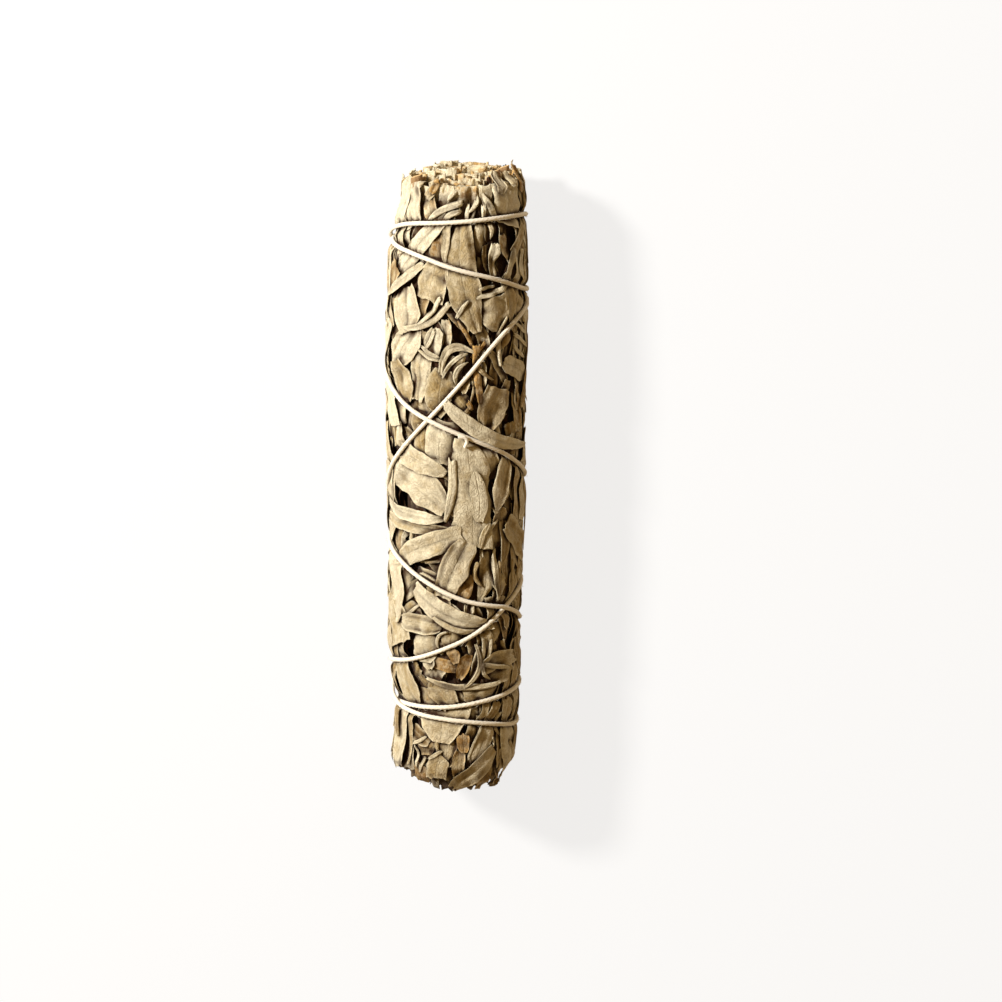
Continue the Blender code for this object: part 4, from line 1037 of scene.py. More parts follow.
def twine_piece(material):
    """The twine: three plies twisted together, wound, knotted, with two short ends.

    The knot is a trefoil: the sine and cosine of one turn with twice those of two
    turns, and the sine of three turns outward. Its tails arch by a sine.
    """
    turns, alongs, heights = twine_line()
    path = on_bunch(turns, alongs, heights)
    path[:, 0] = np.clip(path[:, 0], SIDE_LIMITS[0] + TWINE_RADIUS, SIDE_LIMITS[1] - TWINE_RADIUS)
    path[:, 2] = np.maximum(path[:, 2], TWINE_RADIUS + TWINE_OFF_GROUND)
    outward = facing_out(turns)
    batch = Batch()
    add_cord(batch, path, outward, TWINE_RADIUS, TWINE_SIDES)
    out = facing_out(np.radians(KNOT_TURN))
    centre = (path[0] + path[-1]) / 2 + out * KNOT_OUT
    share = np.linspace(0.0, 2 * math.pi, KNOT_POINTS)[:-1]
    loop = np.stack([np.sin(share) + 2 * np.sin(2 * share), np.cos(share) - 2 * np.cos(2 * share),
                     -np.sin(3 * share)], axis=-1) / 3.0
    sideways = np.cross(out, (0.0, 1.0, 0.0))
    axes = np.stack([sideways, np.array((0.0, 1.0, 0.0)), out]) * np.array(KNOT_SIZE)[:, None]
    add_cord(batch, centre + loop @ axes, out + 0.2 * loop, TWINE_RADIUS * KNOT_THIN)
    t = np.linspace(0.0, 1.0, TAIL_POINTS)[:, None]
    flare = TWINE_RADIUS * TAIL_THIN * (1 + TAIL_FLARE * ease((t[:, 0] - 0.8) / 0.2))
    for way in (1, -1):
        reach = np.array((0.0, way * TAIL_LENGTH, -TAIL_DROP))
        tail = centre + reach * t + out * TAIL_ARCH * np.sin(math.pi * t)
        add_cord(batch, tail, np.broadcast_to(out, tail.shape), flare)
    turns, alongs = (through(line, LOOSE_FINE) for line in from_picture(*zip(*LOOSE_END)))
    rise = TWINE_RADIUS + LOOSE_RISE * np.cos(np.linspace(0.0, math.pi / 2, len(turns)))
    add_cord(batch, on_bunch(turns, alongs, rise), facing_out(turns), TWINE_RADIUS * LOOSE_THIN)
    add_lint(batch, path, outward)
    return batch.build("twine_winding", material)


def add_lint(batch, path, outward):
    """Short loose fibres on the twine: each is a thin three-sided curl that springs off it."""
    rng = np.random.default_rng(SEED + 6)
    way = np.gradient(path, axis=0)
    way /= np.linalg.norm(way, axis=1)[:, None]
    t = np.linspace(0.0, 1.0, 7)[:, None]
    for _ in range(LINT_COUNT):
        k = int(rng.integers(5, len(path) - 5))
        sideways = np.cross(way[k], outward[k])
        out = outward[k] * rng.uniform(0.2, 1.0) + sideways * rng.uniform(-1.0, 1.0)
        out /= np.linalg.norm(out)
        reach = rng.uniform(*LINT_LENGTHS)
        curl = rng.uniform(-LINT_CURL, LINT_CURL)
        rise = TWINE_RADIUS * 0.85 + LINT_RISE * reach * np.sin(math.pi * 0.62 * t)
        line = path[k] + out * rise + way[k] * reach * (t + curl * t * t) * rng.choice((-1.0, 1.0))
        line[:, 0] = np.clip(line[:, 0], SIDE_LIMITS[0] + 0.1, SIDE_LIMITS[1] - 0.1)
        line[:, 2] = np.clip(line[:, 2], 0.15, HIGHEST - 0.05)
        points, flat = tube(line, np.cross(out, way[k]) + 0 * line, LINT_RADIUS * (1.2 - t[:, 0]), 3)
        marks = np.full((*points.shape[:2], 4), 0.5)
        batch.add(points, grid_quads(points.shape[0], 3, around=True), marks, flat)


def press(heap, base):
    """How much the heights of the heap are drawn together at each place.

    Away from the twine the heap's smoothed top is brought to the outline, and near
    it the top is brought to the underside of the twine. The order of the leaves
    stays as it is, because all heights at a place are drawn toward the core alike.
    """
    rng = np.random.default_rng(SEED + 5)
    uneven = blur(rng.normal(0.0, 1.0, heap.shape), UNEVEN_BLUR)
    target = HEAP_TOP + uneven / np.abs(uneven).max() * HEAP_UNEVEN
    room = np.maximum(blur(heap, TOP_BLUR) - base, LEAST_ROOM)
    scale = np.clip((target - base) / room, *SCALE_LIMITS)
    turns, alongs, heights = twine_line()
    one, other = heap_cells(turns * MEAN_RADIUS, alongs)
    under = np.full(heap.shape, 9.0)
    weight = np.zeros(heap.shape)
    cell = 2 * math.pi * MEAN_RADIUS / HEAP_ROUND
    reach = int(PRESS_REACH * 2.2 / cell)
    for shift in range(-reach, reach + 1):
        for step in range(-reach, reach + 1):
            distance = cell * math.hypot(shift, step)
            share = math.exp(-(distance / PRESS_REACH) ** 2)
            place = ((one + shift) % HEAP_ROUND, np.clip(other + step, 0, HEAP_LONG - 1))
            np.maximum.at(weight, place, share)
            np.minimum.at(under, place, heights - TWINE_RADIUS + PRESS_BITE + distance * PRESS_SLOPE)
    near = np.maximum.reduce([np.roll(heap, (a, b), (0, 1)) for a in (-1, 0, 1) for b in (-1, 0, 1)])
    room = np.maximum(blur(near, 2) - base, LEAST_ROOM)
    pressed = np.clip((under - base) / room, PRESSED_LEAST, SCALE_LIMITS[1])
    weight = ease(weight * 1.25)
    return blur(scale * (1 - weight) + pressed * weight, 2)


def with_twine(top):
    """The top of the heap with the twine on it."""
    over = top.copy()
    turns, alongs, heights = twine_line()
    one, other = heap_cells(turns * MEAN_RADIUS, alongs)
    for shift in (-1, 0, 1):
        np.maximum.at(over, ((one + shift) % HEAP_ROUND, other), heights + TWINE_RADIUS)
        np.maximum.at(over, (one, other + shift), heights + TWINE_RADIUS)
    return over


def mark_depth(leaves, over):
    """Mark how deep each leaf's places lie under the heap close by and further round, as painted shade.

    The lowest leaves also get painted shade toward the ragged end.
    """
    tops = (blur(over, 3), *NEAR_DEPTHS), (blur(over, 60), *FAR_DEPTHS)
    for leaf in leaves:
        leaf["deep"] = 0.0
        for top, start, growth in tops:
            depth = read_heap(top, leaf["around"], leaf["along"]) - leaf["height"]
            leaf["deep"] = leaf["deep"] + DEPTH_SHARE * np.clip((depth - start) / growth, 0.0, 1.0)
        # Painted shade on the lowest leaves toward the ragged end
        if leaf["layer"] < 1.0:
            edge = tip_line(MEAN_RADIUS * np.sin(leaf["around"] / MEAN_RADIUS))
            past = edge + TIP_SHADE_REACH - leaf["along"]
            leaf["deep"] = leaf["deep"] + TIP_SHADE * ease(past / TIP_SHADE_REACH)


def foliage():
    """Every leaf of the bunch, laid layer by layer, pressed, and marked for its shade."""
    rng = np.random.default_rng(SEED)
    core = core_heights()
    heap = core.copy()
    leaves = shown_leaves(rng)
    for group in SCATTERED:
        leaves += scattered(rng, *group)
    leaves.sort(key=lambda leaf: leaf["layer"])
    for leaf in leaves:
        lay(heap, leaf)
    scale = press(heap, core)
    for leaf in leaves:
        pull = read_heap(scale, leaf["around"], leaf["along"])
        base = read_heap(core, leaf["around"], leaf["along"])
        height = base + (leaf["height"] - base) * pull
        leaf["height"] = HIGHEST_LEAF - held_off(HIGHEST_LEAF - height)
    over = with_twine(core + (heap - core) * scale)
    crossing = pictured_sheet(rng, *OVER_TWINE, blunt=0.2, limp=0.9)
    crossing |= {"layer": 3.0, "tone": 0.95, "stain": 0.1}
    lay(over, crossing)
    leaves.append(crossing)
    mark_depth(leaves, over)
    return leaves


def sprig_of(around):
    """Which sprig an unrolled place round the bunch belongs to, by the walls beside it."""
    turn = math.degrees(around / MEAN_RADIUS)
    turn = (turn - WALLS[0]) % 360.0 + WALLS[0]
    return int(np.searchsorted(WALLS, turn, side="right")) - 1


def add_sheet(batch, leaf, upper, lower, number):
    """Put a leaf into a batch as a closed sheet between an upper and a lower face."""
    rows, columns = upper.shape[:2]
    marks = np.empty((2, rows, columns, 4))
    # The marks: tone, painted shade by depth, rim, stain
    marks[..., 0] = leaf["tone"]
    marks[..., 1] = np.clip(leaf["deep"], 0.0, 1.0)
    marks[..., 2] = leaf["rim"]
    marks[..., 3] = leaf["stain"]
    flat = leaf["flat"] + np.array((FLAT_STEP * number, 0.0))
    batch.add(np.stack([upper, lower]), shell_quads(rows, columns), marks, np.stack([flat, flat]))


def add_leaf(batches, leaf, number):
    """Put one laid leaf into the batch of its sprig."""
    turn = leaf["around"] / MEAN_RADIUS
    thick = LEAF_THICK * (1 - RIM_THIN * leaf["rim"])
    upper = on_bunch(turn, leaf["along"], leaf["height"])
    lower = on_bunch(turn, leaf["along"], leaf["height"] - thick)
    leaf["tone"] = leaf["tone"] + TONE_ALONG * leaf["along"].mean()
    add_sheet(batches[sprig_of(float(np.mean(leaf["around"])))], leaf, upper, lower, number)


def packed_wedge(batch, index):
    """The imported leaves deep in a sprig: its section carried along, with uneven sides.

    The section runs out along one wall, over an arc below the outline, and back
    along the other wall, and each point wanders a little from row to row. It is
    sunk by smooth steps toward both ends.
    """
    rng = np.random.default_rng(SEED + 40 + index)
    rows, arc = WEDGE_GRID
    walls = np.radians((*WALLS, WALLS[0] + 360.0))
    along = np.linspace(*WEDGE_ENDS, rows)[:, None]
    turn = np.linspace(walls[index], walls[index + 1], arc)[None, :] * np.ones_like(along)
    sunk = core_sunk(turn) + CORE_UNDER + CORE_ROUGH * rng.random((rows, arc))
    sooner = along + CORE_CUT_SOONER * np.cos(turn)
    for place, (depth, start, length) in ((along, CORE_RISE), (-along, CORE_TIPS), (sooner, CORE_CUT)):
        sunk = sunk + depth * ease((place - start) / length)
    outer = on_bunch(turn, along * np.ones_like(turn), -sunk)
    inner = around_axis(along, turn[:, ::-6], HEART_RADIUS + HEART_GAP)
    add_packed(batch, np.concatenate([outer, inner], axis=1), rng)


def add_packed(batch, ring, rng):
    """Put packed leaves into a batch: rows of points round a section, closed at both ends."""
    ring = drawn_together(ring, ring[0].mean(axis=0), ring[-1].mean(axis=0))
    rows, count = ring.shape[:2]
    # They are marked almost wholly with painted shade
    marks = np.ones((rows, count, 4)) * np.array(PACKED_MARKS)
    flat = ring[..., [1, 0]] + rng.uniform(0.0, 900.0)
    batch.add(ring, grid_quads(rows, count, around=True)[:, ::-1], marks, flat)


def heart_core(batch):
    """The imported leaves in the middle: a round section with a wandering radius."""
    rng = np.random.default_rng(SEED + 60)
    rows, sides = HEART_GRID
    along = np.linspace(*HEART_ENDS, rows)[:, None]
    turn = np.linspace(0.0, 2 * math.pi, sides, endpoint=False)[None, :]
    radius = HEART_RADIUS - 0.6 + CORE_ROUGH * rng.random(HEART_GRID)
    add_packed(batch, around_axis(along, turn, radius), rng)


def inner_tips(batches):
    """Leaf tips inside the ragged end, in rings from near the axis to below the outline.

    They get painted shade by smooth steps away from their ends and toward the upper side.
    """
    rng = np.random.default_rng(SEED + 70)
    for ring, (radius, count) in enumerate(TIP_RINGS):
        for step in range(count):
            turn = 2 * math.pi * (step + 0.5 * ring + rng.uniform(-0.3, 0.3)) / count
            lean = rng.uniform(-0.2, 0.2)
            tip = float(tip_line(0.5 + radius * math.sin(turn))) + rng.uniform(*TIP_RAGGED)
            width = rng.uniform(*TIP_WIDTHS)
            bow = rng.uniform(-1.0, 1.0)
            blunt = float(rng.choice(TIP_BLUNTS))
            leaf = leaf_sheet((0.0, TIP_ROOT), (lean * 12, tip), width, bow, rng, blunt=blunt)
            spread = leaf["shape"] * TIP_SPREAD + rng.uniform(-0.8, 0.8) * ease((-leaf["along"] - 62) / 16)
            leaf["height"] = np.minimum(spread, section(leaf["along"])[1] - INNER_GAP - radius)
            # Their low tone and brown stain are partly their own browning and partly painted shade, and the
            # deep mark is painted shade
            leaf["tone"] = rng.uniform(0.1, 0.6)
            leaf["stain"] = rng.uniform(0.4, 1.0)
            shade = INNER_SHADE[0] + INNER_SHADE[1] * float(ease(radius * math.cos(turn) / 9.0))
            leaf["deep"] = shade + (1 - shade) * ease((leaf["along"] + 78) / 6)
            place_in_ring(batches, leaf, turn, radius, 500 + 60 * ring + step)


def place_in_ring(batches, leaf, turn, radius, number, thick=LEAF_THICK):
    """Put a leaf sheet at a radius inside the bunch: out by its height, sideways by its width."""
    bend = turn + leaf["around"] / max(radius, 3.0)
    along = np.clip(leaf["along"], *ENDS)
    middle = section(leaf["along"])[0]
    upper, lower = (around_axis(along, bend, radius + leaf["height"] - drop, middle) for drop in (0.0, thick))
    wrapped = (turn + math.pi) % (2 * math.pi) - math.pi
    index = len(WALLS) if radius < HEART_RADIUS else sprig_of(wrapped * MEAN_RADIUS)
    add_sheet(batches[index], leaf, upper, lower, number)


def by_a_stem(radius, turn):
    """Whether a place in a ring is taken by a stem."""
    x = radius * math.sin(turn)
    z = radius * math.cos(turn)
    for stem_turn, distance, size, _ in STEMS:
        angle = math.radians(stem_turn)
        if math.hypot(x - distance * math.sin(angle), z - distance * math.cos(angle)) < size + STEM_CLEAR:
            return True
    return False


def cut_leaf(rng, turn, radius):
    """A cut leaf: a thin crumpled wall that curls, seen on its end.

    Its section is a line whose heading changes evenly, with a sway. It is carried
    along the bunch with crumpled facets to a jagged top, which stands lower by a
    square toward both sides and by a smooth step toward the upper side.
    """
    rows, columns = CUT_GRID
    span = rng.uniform(*CUT_SPANS)
    a = np.linspace(-0.5, 0.5, columns)
    base, bend = (rng.uniform(-most, most) for most in CUT_TURNS)
    sway = rng.uniform(*CUT_SWAYS)
    waves = rng.uniform(*CUT_WAVES)
    heading = base + bend * a + sway * np.sin(2 * math.pi * a * waves + rng.uniform(0, 6))
    line = np.cumsum((np.cos(heading), np.sin(heading)), axis=1) * span / columns
    sideways, outward = (line - line.mean(axis=1)[:, None])[:, None, :]
    aside = radius * math.sin(turn) / 14.0
    upper = float(ease((radius * math.cos(turn) - 1.0) / 13.0))
    top = CUT_TOP - CUT_SIDE_DROP * aside ** 2 - CUT_DROP * upper + rng.uniform(*CUT_RAGGED)
    jagged = (broken_line(rng, columns, 9, 0.12) + wander(rng, columns, 4, 0.35))[None, :]
    t = np.linspace(0.0, 1.0, rows)[:, None] ** 0.8
    along = CUT_ROOT + (np.minimum(top + jagged, CUT_LIMIT) - CUT_ROOT) * t
    flare = 1 + rng.uniform(*CUT_FLARES) * t ** 3
    facets = CUT_FACETS[0] * crumple(rng, along, sideways + 0 * along, CUT_FACETS[1])
    level = radius + outward * flare + facets * t
    level = np.minimum(level, section(along)[1] - INNER_GAP)
    return {
        "around": sideways * flare,
        "along": along,
        "height": level - radius,
        "rim": CUT_RIM * np.clip((t - 0.86) / 0.10, 0.0, 1.0) * np.ones((1, columns)),
        "tone": rng.uniform(0.65, 1.1),
        "stain": rng.uniform(0.7, 1.4) if rng.random() < CUT_BROWN_SHARE else rng.uniform(0.0, 0.3),
        # Painted shade deep down between the cut leaves, fading toward their tops
        "deep": CUT_SHADE * (1 - ease((along - (top - CUT_PALE)) / CUT_PALE_OVER)),
        "flat": np.stack([along, sideways + 0 * along], axis=-1),
    }


def cut_leaf_edges(batches):
    """Cut leaves at the stem end, in rings, with room left for the stems."""
    rng = np.random.default_rng(SEED + 80)
    number = 900
    for ring, (radius, count) in enumerate(CUT_RINGS):
        for step in range(count):
            turn = 2 * math.pi * (step + 0.5 * ring + rng.uniform(-0.4, 0.4)) / count
            if not by_a_stem(radius, turn):
                place_in_ring(batches, cut_leaf(rng, turn, radius), turn, radius, number, CUT_LEAF_THICK)
                number += 1


def stem_piece(index, material):
    """A woody stem: a round section with ridges and knots of bark, carried along a bent line.

    The radius varies by sines of the angle and of the place along. The cut end is
    aslant, closed by rings that step in to the pith, and marked paler.
    """
    turn, distance, radius, end = STEMS[index]
    rng = np.random.default_rng(SEED + 90 + index)
    rows, sides = STEM_GRID
    share = np.linspace(0.0, 1.0, rows)
    bend = STEM_BEND * np.sin(math.pi * share)
    path = around_axis(STEM_ROOT + (end - STEM_ROOT) * share, math.radians(turn), distance + bend)
    spin = np.linspace(0.0, 2 * math.pi, sides, endpoint=False)[None, :]
    share = share[:, None]
    size = radius * (STEM_TAPER + (1 - STEM_TAPER) * share) * STEM_FIT
    wide, fine = STEM_RIDGES
    ridges = wide * np.sin(5 * spin + 3 * share) + fine * np.sin(9 * spin - 7 * share)
    knots = STEM_KNOTS * np.sin(share * 23.0 + index) ** 8
    reach = size * (1 + ridges + knots + STEM_ROUGH * rng.normal(size=STEM_GRID))
    points = path[:, None] + np.stack([reach * np.cos(spin), 0 * reach, reach * np.sin(spin)], axis=-1)
    inward, drop = np.array(STEM_CUT).T[..., None]
    rings = path[-1] + (points[-1] - path[-1]) * inward[..., None]
    aslant = (rings[..., 0] - path[-1, 0]) * STEM_CUT_SLOPE
    rings[..., 1] += drop + aslant * inward - STEM_CUT_BACK
    last = points[-STEM_END_ROWS:]
    aslant = (last[..., 0] - path[-1, 0]) * STEM_CUT_SLOPE
    last[..., 1] += (aslant - STEM_CUT_BACK) * np.linspace(0.0, 1.0, STEM_END_ROWS)[:, None]
    start = np.repeat(path[0][None, None], sides, 1)
    points = np.concatenate([start, points, rings])
    marks = np.zeros((*points.shape[:2], 4))
    marks[..., 0] = 0.5
    marks[-len(rings):, :, 1] = inward
    marks[-len(rings):, :, 2] = 1.0
    flat = np.stack([points[..., 1], spin * radius * np.ones(points.shape[:2])], axis=-1)
    batch = Batch()
    batch.add(points, grid_quads(len(points), sides, around=True), marks, flat)
    return batch.build(f"sprig_{index + 1:02d}_woody_stem", material)


def socket(group, name, kind, into, value=None):
    """A named socket of a node group."""
    made = group.interface.new_socket(name, in_out="INPUT" if into else "OUTPUT", socket_type=kind)
    if value is not None:
        made.default_value = value
    return made


def node(tree, kind, inputs=None, **settings):
    """A shader node with its settings, and with each input a value or another socket."""
    made = tree.nodes.new(kind)
    for name, value in settings.items():
        setattr(made, name, value)
    for key, value in (inputs or {}).items():
        if isinstance(value, bpy.types.NodeSocket):
            tree.links.new(value, made.inputs[key])
        else:
            made.inputs[key].default_value = value
    return made


def mix(tree, factor, one, other, blend="MIX"):
    """The colour between one and other."""
    made = node(tree, "ShaderNodeMix", {0: factor, 6: one, 7: other}, data_type="RGBA", blend_type=blend)
    return made.outputs[2]


def maths(tree, operation, one, other=0.0, clamp=False):
    """The result of a sum on numbers."""
    made = node(tree, "ShaderNodeMath", {0: one, 1: other}, operation=operation, use_clamp=clamp)
    return made.outputs[0]


def ramp(tree, value, low, high):
    """A value mapped so that low gives 0 and high gives 1, with a soft step."""
    made = node(tree, "ShaderNodeMapRange", {"Value": value, "From Min": low, "From Max": high},
                interpolation_type="SMOOTHSTEP")
    return made.outputs[0]


def noise(tree, vector, scale, detail=3.0, roughness=0.55):
    """Noise between 0 and 1 over a vector."""
    made = node(tree, "ShaderNodeTexNoise", {"Vector": vector, "Scale": scale, "Detail": detail,
                                             "Roughness": roughness}, noise_dimensions="3D")
    return made.outputs["Fac"]


def new_group(name, inputs, outputs):
    """An empty node group with named inputs and outputs, and its two end nodes."""
    group = bpy.data.node_groups.new(name, "ShaderNodeTree")
    for label, kind, value in inputs:
        socket(group, label, kind, True, value)
    for label, kind in outputs:
        socket(group, label, kind, False)
    return group, group.nodes.new("NodeGroupInput"), group.nodes.new("NodeGroupOutput")


def dry_fibre_group():
    """Fine matted fibres, blotches and wrinkles, each between 0 and 1, over a vector.

    A wrinkle is a thin valley where a noise of its own passes through one half.
    """
    group, ends, out = new_group(
        "dry_fibre",
        (("Vector", "NodeSocketVector", None), ("Fibre Scale", "NodeSocketFloat", 3.0),
         ("Blotch Scale", "NodeSocketFloat", 0.3), ("Wrinkle Scale", "NodeSocketFloat", 0.8)),
        (("Height", "NodeSocketFloat"), ("Blotch", "NodeSocketFloat"), ("Wrinkle", "NodeSocketFloat")),
    )
    vector = ends.outputs["Vector"]
    fine = noise(group, vector, ends.outputs["Fibre Scale"], 4.0, 0.65)
    coarse = noise(group, vector, ends.outputs["Blotch Scale"], 5.0, 0.6)
    folded = noise(group, vector, ends.outputs["Wrinkle Scale"], 3.0, 0.6)
    away = maths(group, "ABSOLUTE", maths(group, "SUBTRACT", folded, 0.5))
    group.links.new(ramp(group, away, 0.0, 0.07), out.inputs["Wrinkle"])
    group.links.new(fine, out.inputs["Height"])
    group.links.new(coarse, out.inputs["Blotch"])
    return group


def shade_group():
    """Painted shade: colour darkened and browned by how deep a place lies between the leaves."""
    group, ends, out = new_group(
        "crevice_shade",
        (("Color", "NodeSocketColor", None), ("Deep", "NodeSocketFloat", 0.0)),
        (("Color", "NodeSocketColor"),),
    )
    dark = mix(group, 1.0, ends.outputs["Color"], PAINTED_CREVICE_SHADE, "MULTIPLY")
    result = mix(group, ends.outputs["Deep"], ends.outputs["Color"], dark)
    group.links.new(result, out.inputs["Color"])
    return group


def surface(name, roughness, sheen=0.0):
    """A new material with its shader, its marks, its flat places as a vector."""
    made = bpy.data.materials.new(name)
    made.use_nodes = True
    tree = made.node_tree
    shader = tree.nodes["Principled BSDF"]
    shader.inputs["Roughness"].default_value = roughness
    shader.inputs["Sheen Weight"].default_value = sheen
    shader.inputs["Specular IOR Level"].default_value = 0.25
    marks = node(tree, "ShaderNodeAttribute", attribute_name="marks", attribute_type="GEOMETRY")
    parts = node(tree, "ShaderNodeSeparateColor", {"Color": marks.outputs["Color"]})
    flat = node(tree, "ShaderNodeUVMap", uv_map="flat")
    return made, tree, shader, parts.outputs, marks.outputs["Alpha"], flat.outputs["UV"]


def fibres(tree, group, flat, fibre_scale, blotch_scale, stretch=None):
    """What the dry fibre group gives over flat places, which may be stretched first."""
    if stretch:
        flat = node(tree, "ShaderNodeMapping", {"Vector": flat, "Scale": stretch}).outputs["Vector"]
    inputs = {"Vector": flat, "Fibre Scale": fibre_scale, "Blotch Scale": blotch_scale}
    return node(tree, "ShaderNodeGroup", inputs, node_tree=group).outputs


def dress(tree, shader, colour, height, strength, reach):
    """Give a shader its colour, and a bump by a height that reaches some millimetres."""
    tree.links.new(colour, shader.inputs["Base Color"])
    bump = node(tree, "ShaderNodeBump", {"Strength": strength, "Distance": reach * MM, "Height": height})
    tree.links.new(bump.outputs["Normal"], shader.inputs["Normal"])


def leaf_material(fibre, shade):
    """Dried felted leaf: cream to olive, a pale rim and mid vein, brown stains, matt felt, and painted shade
    in wrinkle valleys and between the leaves.
    """
    made, tree, shader, parts, stain, flat = surface("dried_leaf_felt", 0.92, 0.08)
    felt = fibres(tree, fibre, flat, 3.2, 0.34)
    blotch = felt["Blotch"]
    tone = maths(tree, "ADD", parts[0], maths(tree, "MULTIPLY", blotch, 1.2))
    tone = maths(tree, "SUBTRACT", tone, 0.62)
    dull = mix(tree, ramp(tree, tone, -0.15, 0.5), LEAF_DEEP, LEAF_OLIVE)
    body = mix(tree, ramp(tree, tone, 0.25, 1.05), dull, LEAF_CREAM)
    # The mid vein runs at zero across the leaf, and side veins slant off it
    place = node(tree, "ShaderNodeSeparateXYZ", {"Vector": flat})
    off = maths(tree, "ABSOLUTE", place.outputs["Y"])
    vein = maths(tree, "SUBTRACT", 1.0, ramp(tree, off, 0.05, 0.30))
    slant = maths(tree, "ADD", place.outputs["X"], maths(tree, "MULTIPLY", off, 0.9))
    waves = maths(tree, "SINE", maths(tree, "MULTIPLY", slant, 3.1))
    side_vein = maths(tree, "MULTIPLY", ramp(tree, waves, 0.80, 1.0), 0.45)
    veins = maths(tree, "MAXIMUM", vein, side_vein)
    body = mix(tree, maths(tree, "MULTIPLY", veins, 0.30), body, LEAF_VEIN)
    rim = maths(tree, "MULTIPLY", parts[2], 0.8)
    body = mix(tree, rim, body, LEAF_RIM)
    patch = maths(tree, "MULTIPLY", stain, ramp(tree, noise(tree, flat, 0.5, 3.0), 0.38, 0.62))
    patch = maths(tree, "MAXIMUM", patch, maths(tree, "MULTIPLY", ramp(tree, stain, 0.9, 1.6), 0.75))
    brown = mix(tree, parts[2], LEAF_BROWN, BROWN_RIM)
    body = mix(tree, maths(tree, "MULTIPLY", patch, 0.9, clamp=True), body, brown)
    # Fibre specks, and thin dark lines in the wrinkle valleys as painted shade
    speck = ramp(tree, felt["Height"], 0.55, 0.36)
    lines = maths(tree, "SUBTRACT", 1.0, felt["Wrinkle"])
    fleck_and_wrinkle_shade = maths(tree, "ADD", maths(tree, "MULTIPLY", speck, 0.22), maths(tree, "MULTIPLY", lines, 0.16))
    body = mix(tree, fleck_and_wrinkle_shade, body, LEAF_FLECK_AND_WRINKLE_SHADE, "MULTIPLY")
    # Painted shade between the leaves, by the deep mark
    deep = node(tree, "ShaderNodeGroup", {"Color": body, "Deep": parts[1]}, node_tree=shade)
    height = maths(tree, "ADD", felt["Height"], maths(tree, "MULTIPLY", blotch, 1.6))
    height = maths(tree, "SUBTRACT", height, maths(tree, "MULTIPLY", veins, 0.35))
    height = maths(tree, "ADD", height, maths(tree, "MULTIPLY", felt["Wrinkle"], 0.5))
    dress(tree, shader, deep.outputs["Color"], height, 0.85, 0.3)
    return made


def bark_material(fibre):
    """Stem: ridged brown bark, and on the cut end pale wood rings round a soft pith."""
    made, tree, shader, parts, _, flat = surface("sage_stem_bark", 0.85)
    grain = fibres(tree, fibre, flat, 3.0, 0.9, stretch=(0.25, 1.6, 1.0))
    bark = mix(tree, grain["Blotch"], *BARK)
    rings = maths(tree, "SINE", maths(tree, "MULTIPLY", parts[1], 26.0))
    wood = mix(tree, ramp(tree, rings, -1.0, 1.0), *WOOD)
    wood = mix(tree, ramp(tree, parts[1], 0.34, 0.22), wood, PITH)
    dress(tree, shader, mix(tree, parts[2], bark, wood), grain["Height"], 0.6, 0.3)
    return made


def twine_material(fibre):
    """Undyed cotton: fibres that run with the twist, a soft sheen."""
    made, tree, shader, *_, flat = surface("cotton_twine_fibre", 0.85, 0.4)
    lint = fibres(tree, fibre, flat, 2.4, 0.5, stretch=(0.9, 6.0, 1.0))
    dress(tree, shader, mix(tree, lint["Blotch"], *COTTON), lint["Height"], 0.5, 0.15)
    return made


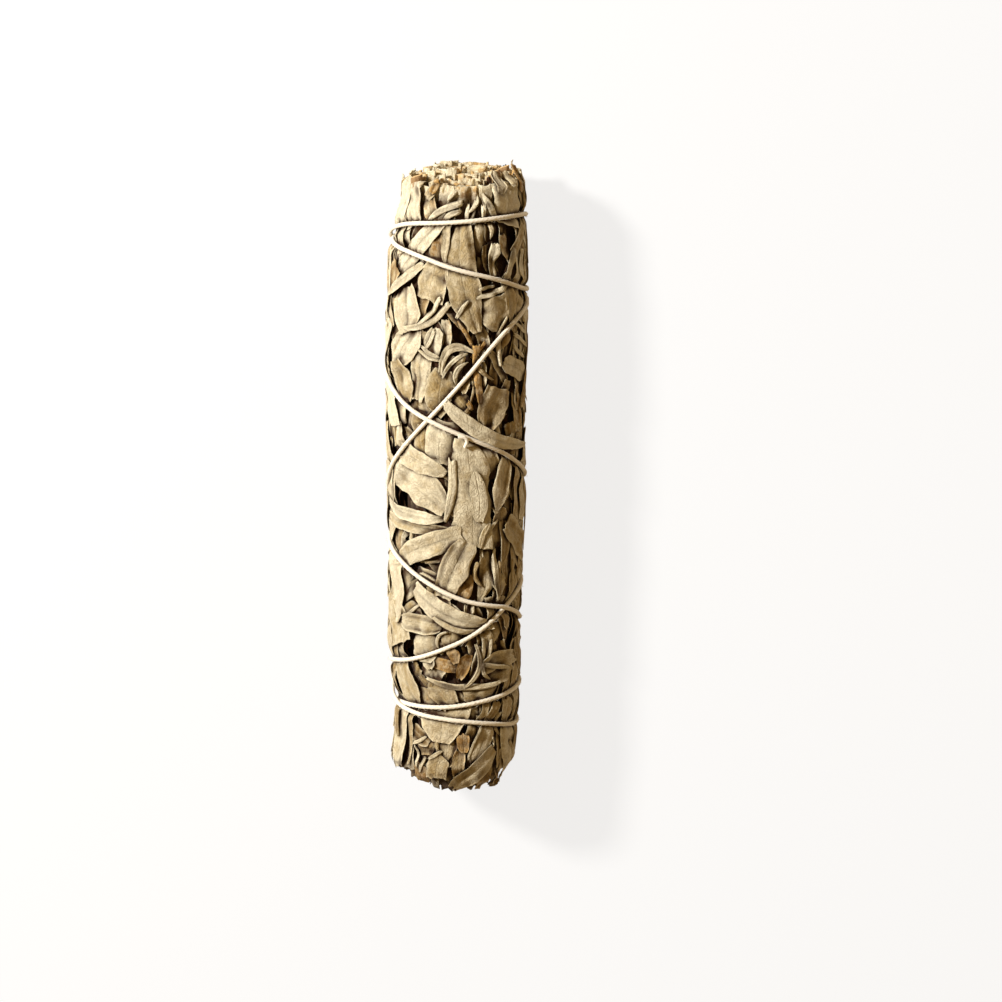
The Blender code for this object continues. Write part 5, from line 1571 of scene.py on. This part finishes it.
def floor_and_light():
    """A plain pale floor, a key light low on the left, and a pale room."""
    mesh = bpy.data.meshes.new("floor")
    corners = [(x * FLOOR_REACH, y * FLOOR_REACH, 0.0) for x, y in ((-1, -1), (1, -1), (1, 1), (-1, 1))]
    mesh.from_pydata(corners, [], [(0, 1, 2, 3)])
    floor = bpy.data.objects.new("floor", mesh)
    bpy.context.scene.collection.objects.link(floor)
    made = bpy.data.materials.new("pale_floor")
    made.use_nodes = True
    tree = made.node_tree
    shader = tree.nodes["Principled BSDF"]
    shader.inputs["Base Color"].default_value = FLOOR_PAINT
    shader.inputs["Roughness"].default_value = 0.9
    shader.inputs["Specular IOR Level"].default_value = 0.0
    glow = node(tree, "ShaderNodeEmission", {"Color": WHITE, "Strength": 1.0})
    seen = node(tree, "ShaderNodeLightPath")
    share = maths(tree, "MULTIPLY", seen.outputs["Is Camera Ray"], FLOOR_GLOW)
    both = node(tree, "ShaderNodeMixShader", {0: share, 1: shader.outputs[0], 2: glow.outputs[0]})
    tree.links.new(both.outputs[0], tree.nodes["Material Output"].inputs["Surface"])
    mesh.materials.append(made)

    key = bpy.data.lights.new("key", "AREA")
    key.shape = "DISK"
    key.size = KEY_SIZE
    key.energy = KEY_ENERGY
    key.color = KEY_COLOUR
    lamp = bpy.data.objects.new("key", key)
    bpy.context.scene.collection.objects.link(lamp)
    toward = Vector(KEY_TOWARD).normalized()
    lamp.location = toward * KEY_DISTANCE
    lamp.rotation_euler = toward.to_track_quat("Z", "Y").to_euler()

    world = bpy.data.worlds.new("room")
    bpy.context.scene.world = world
    world.use_nodes = True
    tree = world.node_tree
    back = tree.nodes["Background"]
    seen = node(tree, "ShaderNodeLightPath").outputs["Is Camera Ray"]
    tree.links.new(mix(tree, seen, ROOM_COLOUR, WHITE), back.inputs["Color"])
    strength = maths(tree, "ADD", maths(tree, "MULTIPLY", seen, 1 - ROOM_STRENGTH), ROOM_STRENGTH)
    tree.links.new(strength, back.inputs["Strength"])
    bpy.context.scene.view_settings.view_transform = "Standard"


def keep(piece, node_name):
    """A piece rides on the bunch and stands for its solid, which is hidden."""
    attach(piece, "root")
    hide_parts(node_name)


place_camera()
floor_and_light()
fibre = dry_fibre_group()
shade = shade_group()
leaf_felt = leaf_material(fibre, shade)
bark = bark_material(fibre)
cotton = twine_material(fibre)

keep(twine_piece(cotton), "twine")
for number in range(len(STEMS)):
    keep(stem_piece(number, bark), f"sprig_{number + 1:02d}_stem")

batches = [Batch() for _ in STEMS]
for number, leaf in enumerate(foliage()):
    add_leaf(batches, leaf, number)
for number in range(len(WALLS)):
    packed_wedge(batches[number], number)
heart_core(batches[-1])
inner_tips(batches)
cut_leaf_edges(batches)
for number, batch in enumerate(batches):
    leaves = batch.build(f"sprig_{number + 1:02d}_dried_leaves", leaf_felt)
    keep(leaves, f"sprig_{number + 1:02d}_leaves")
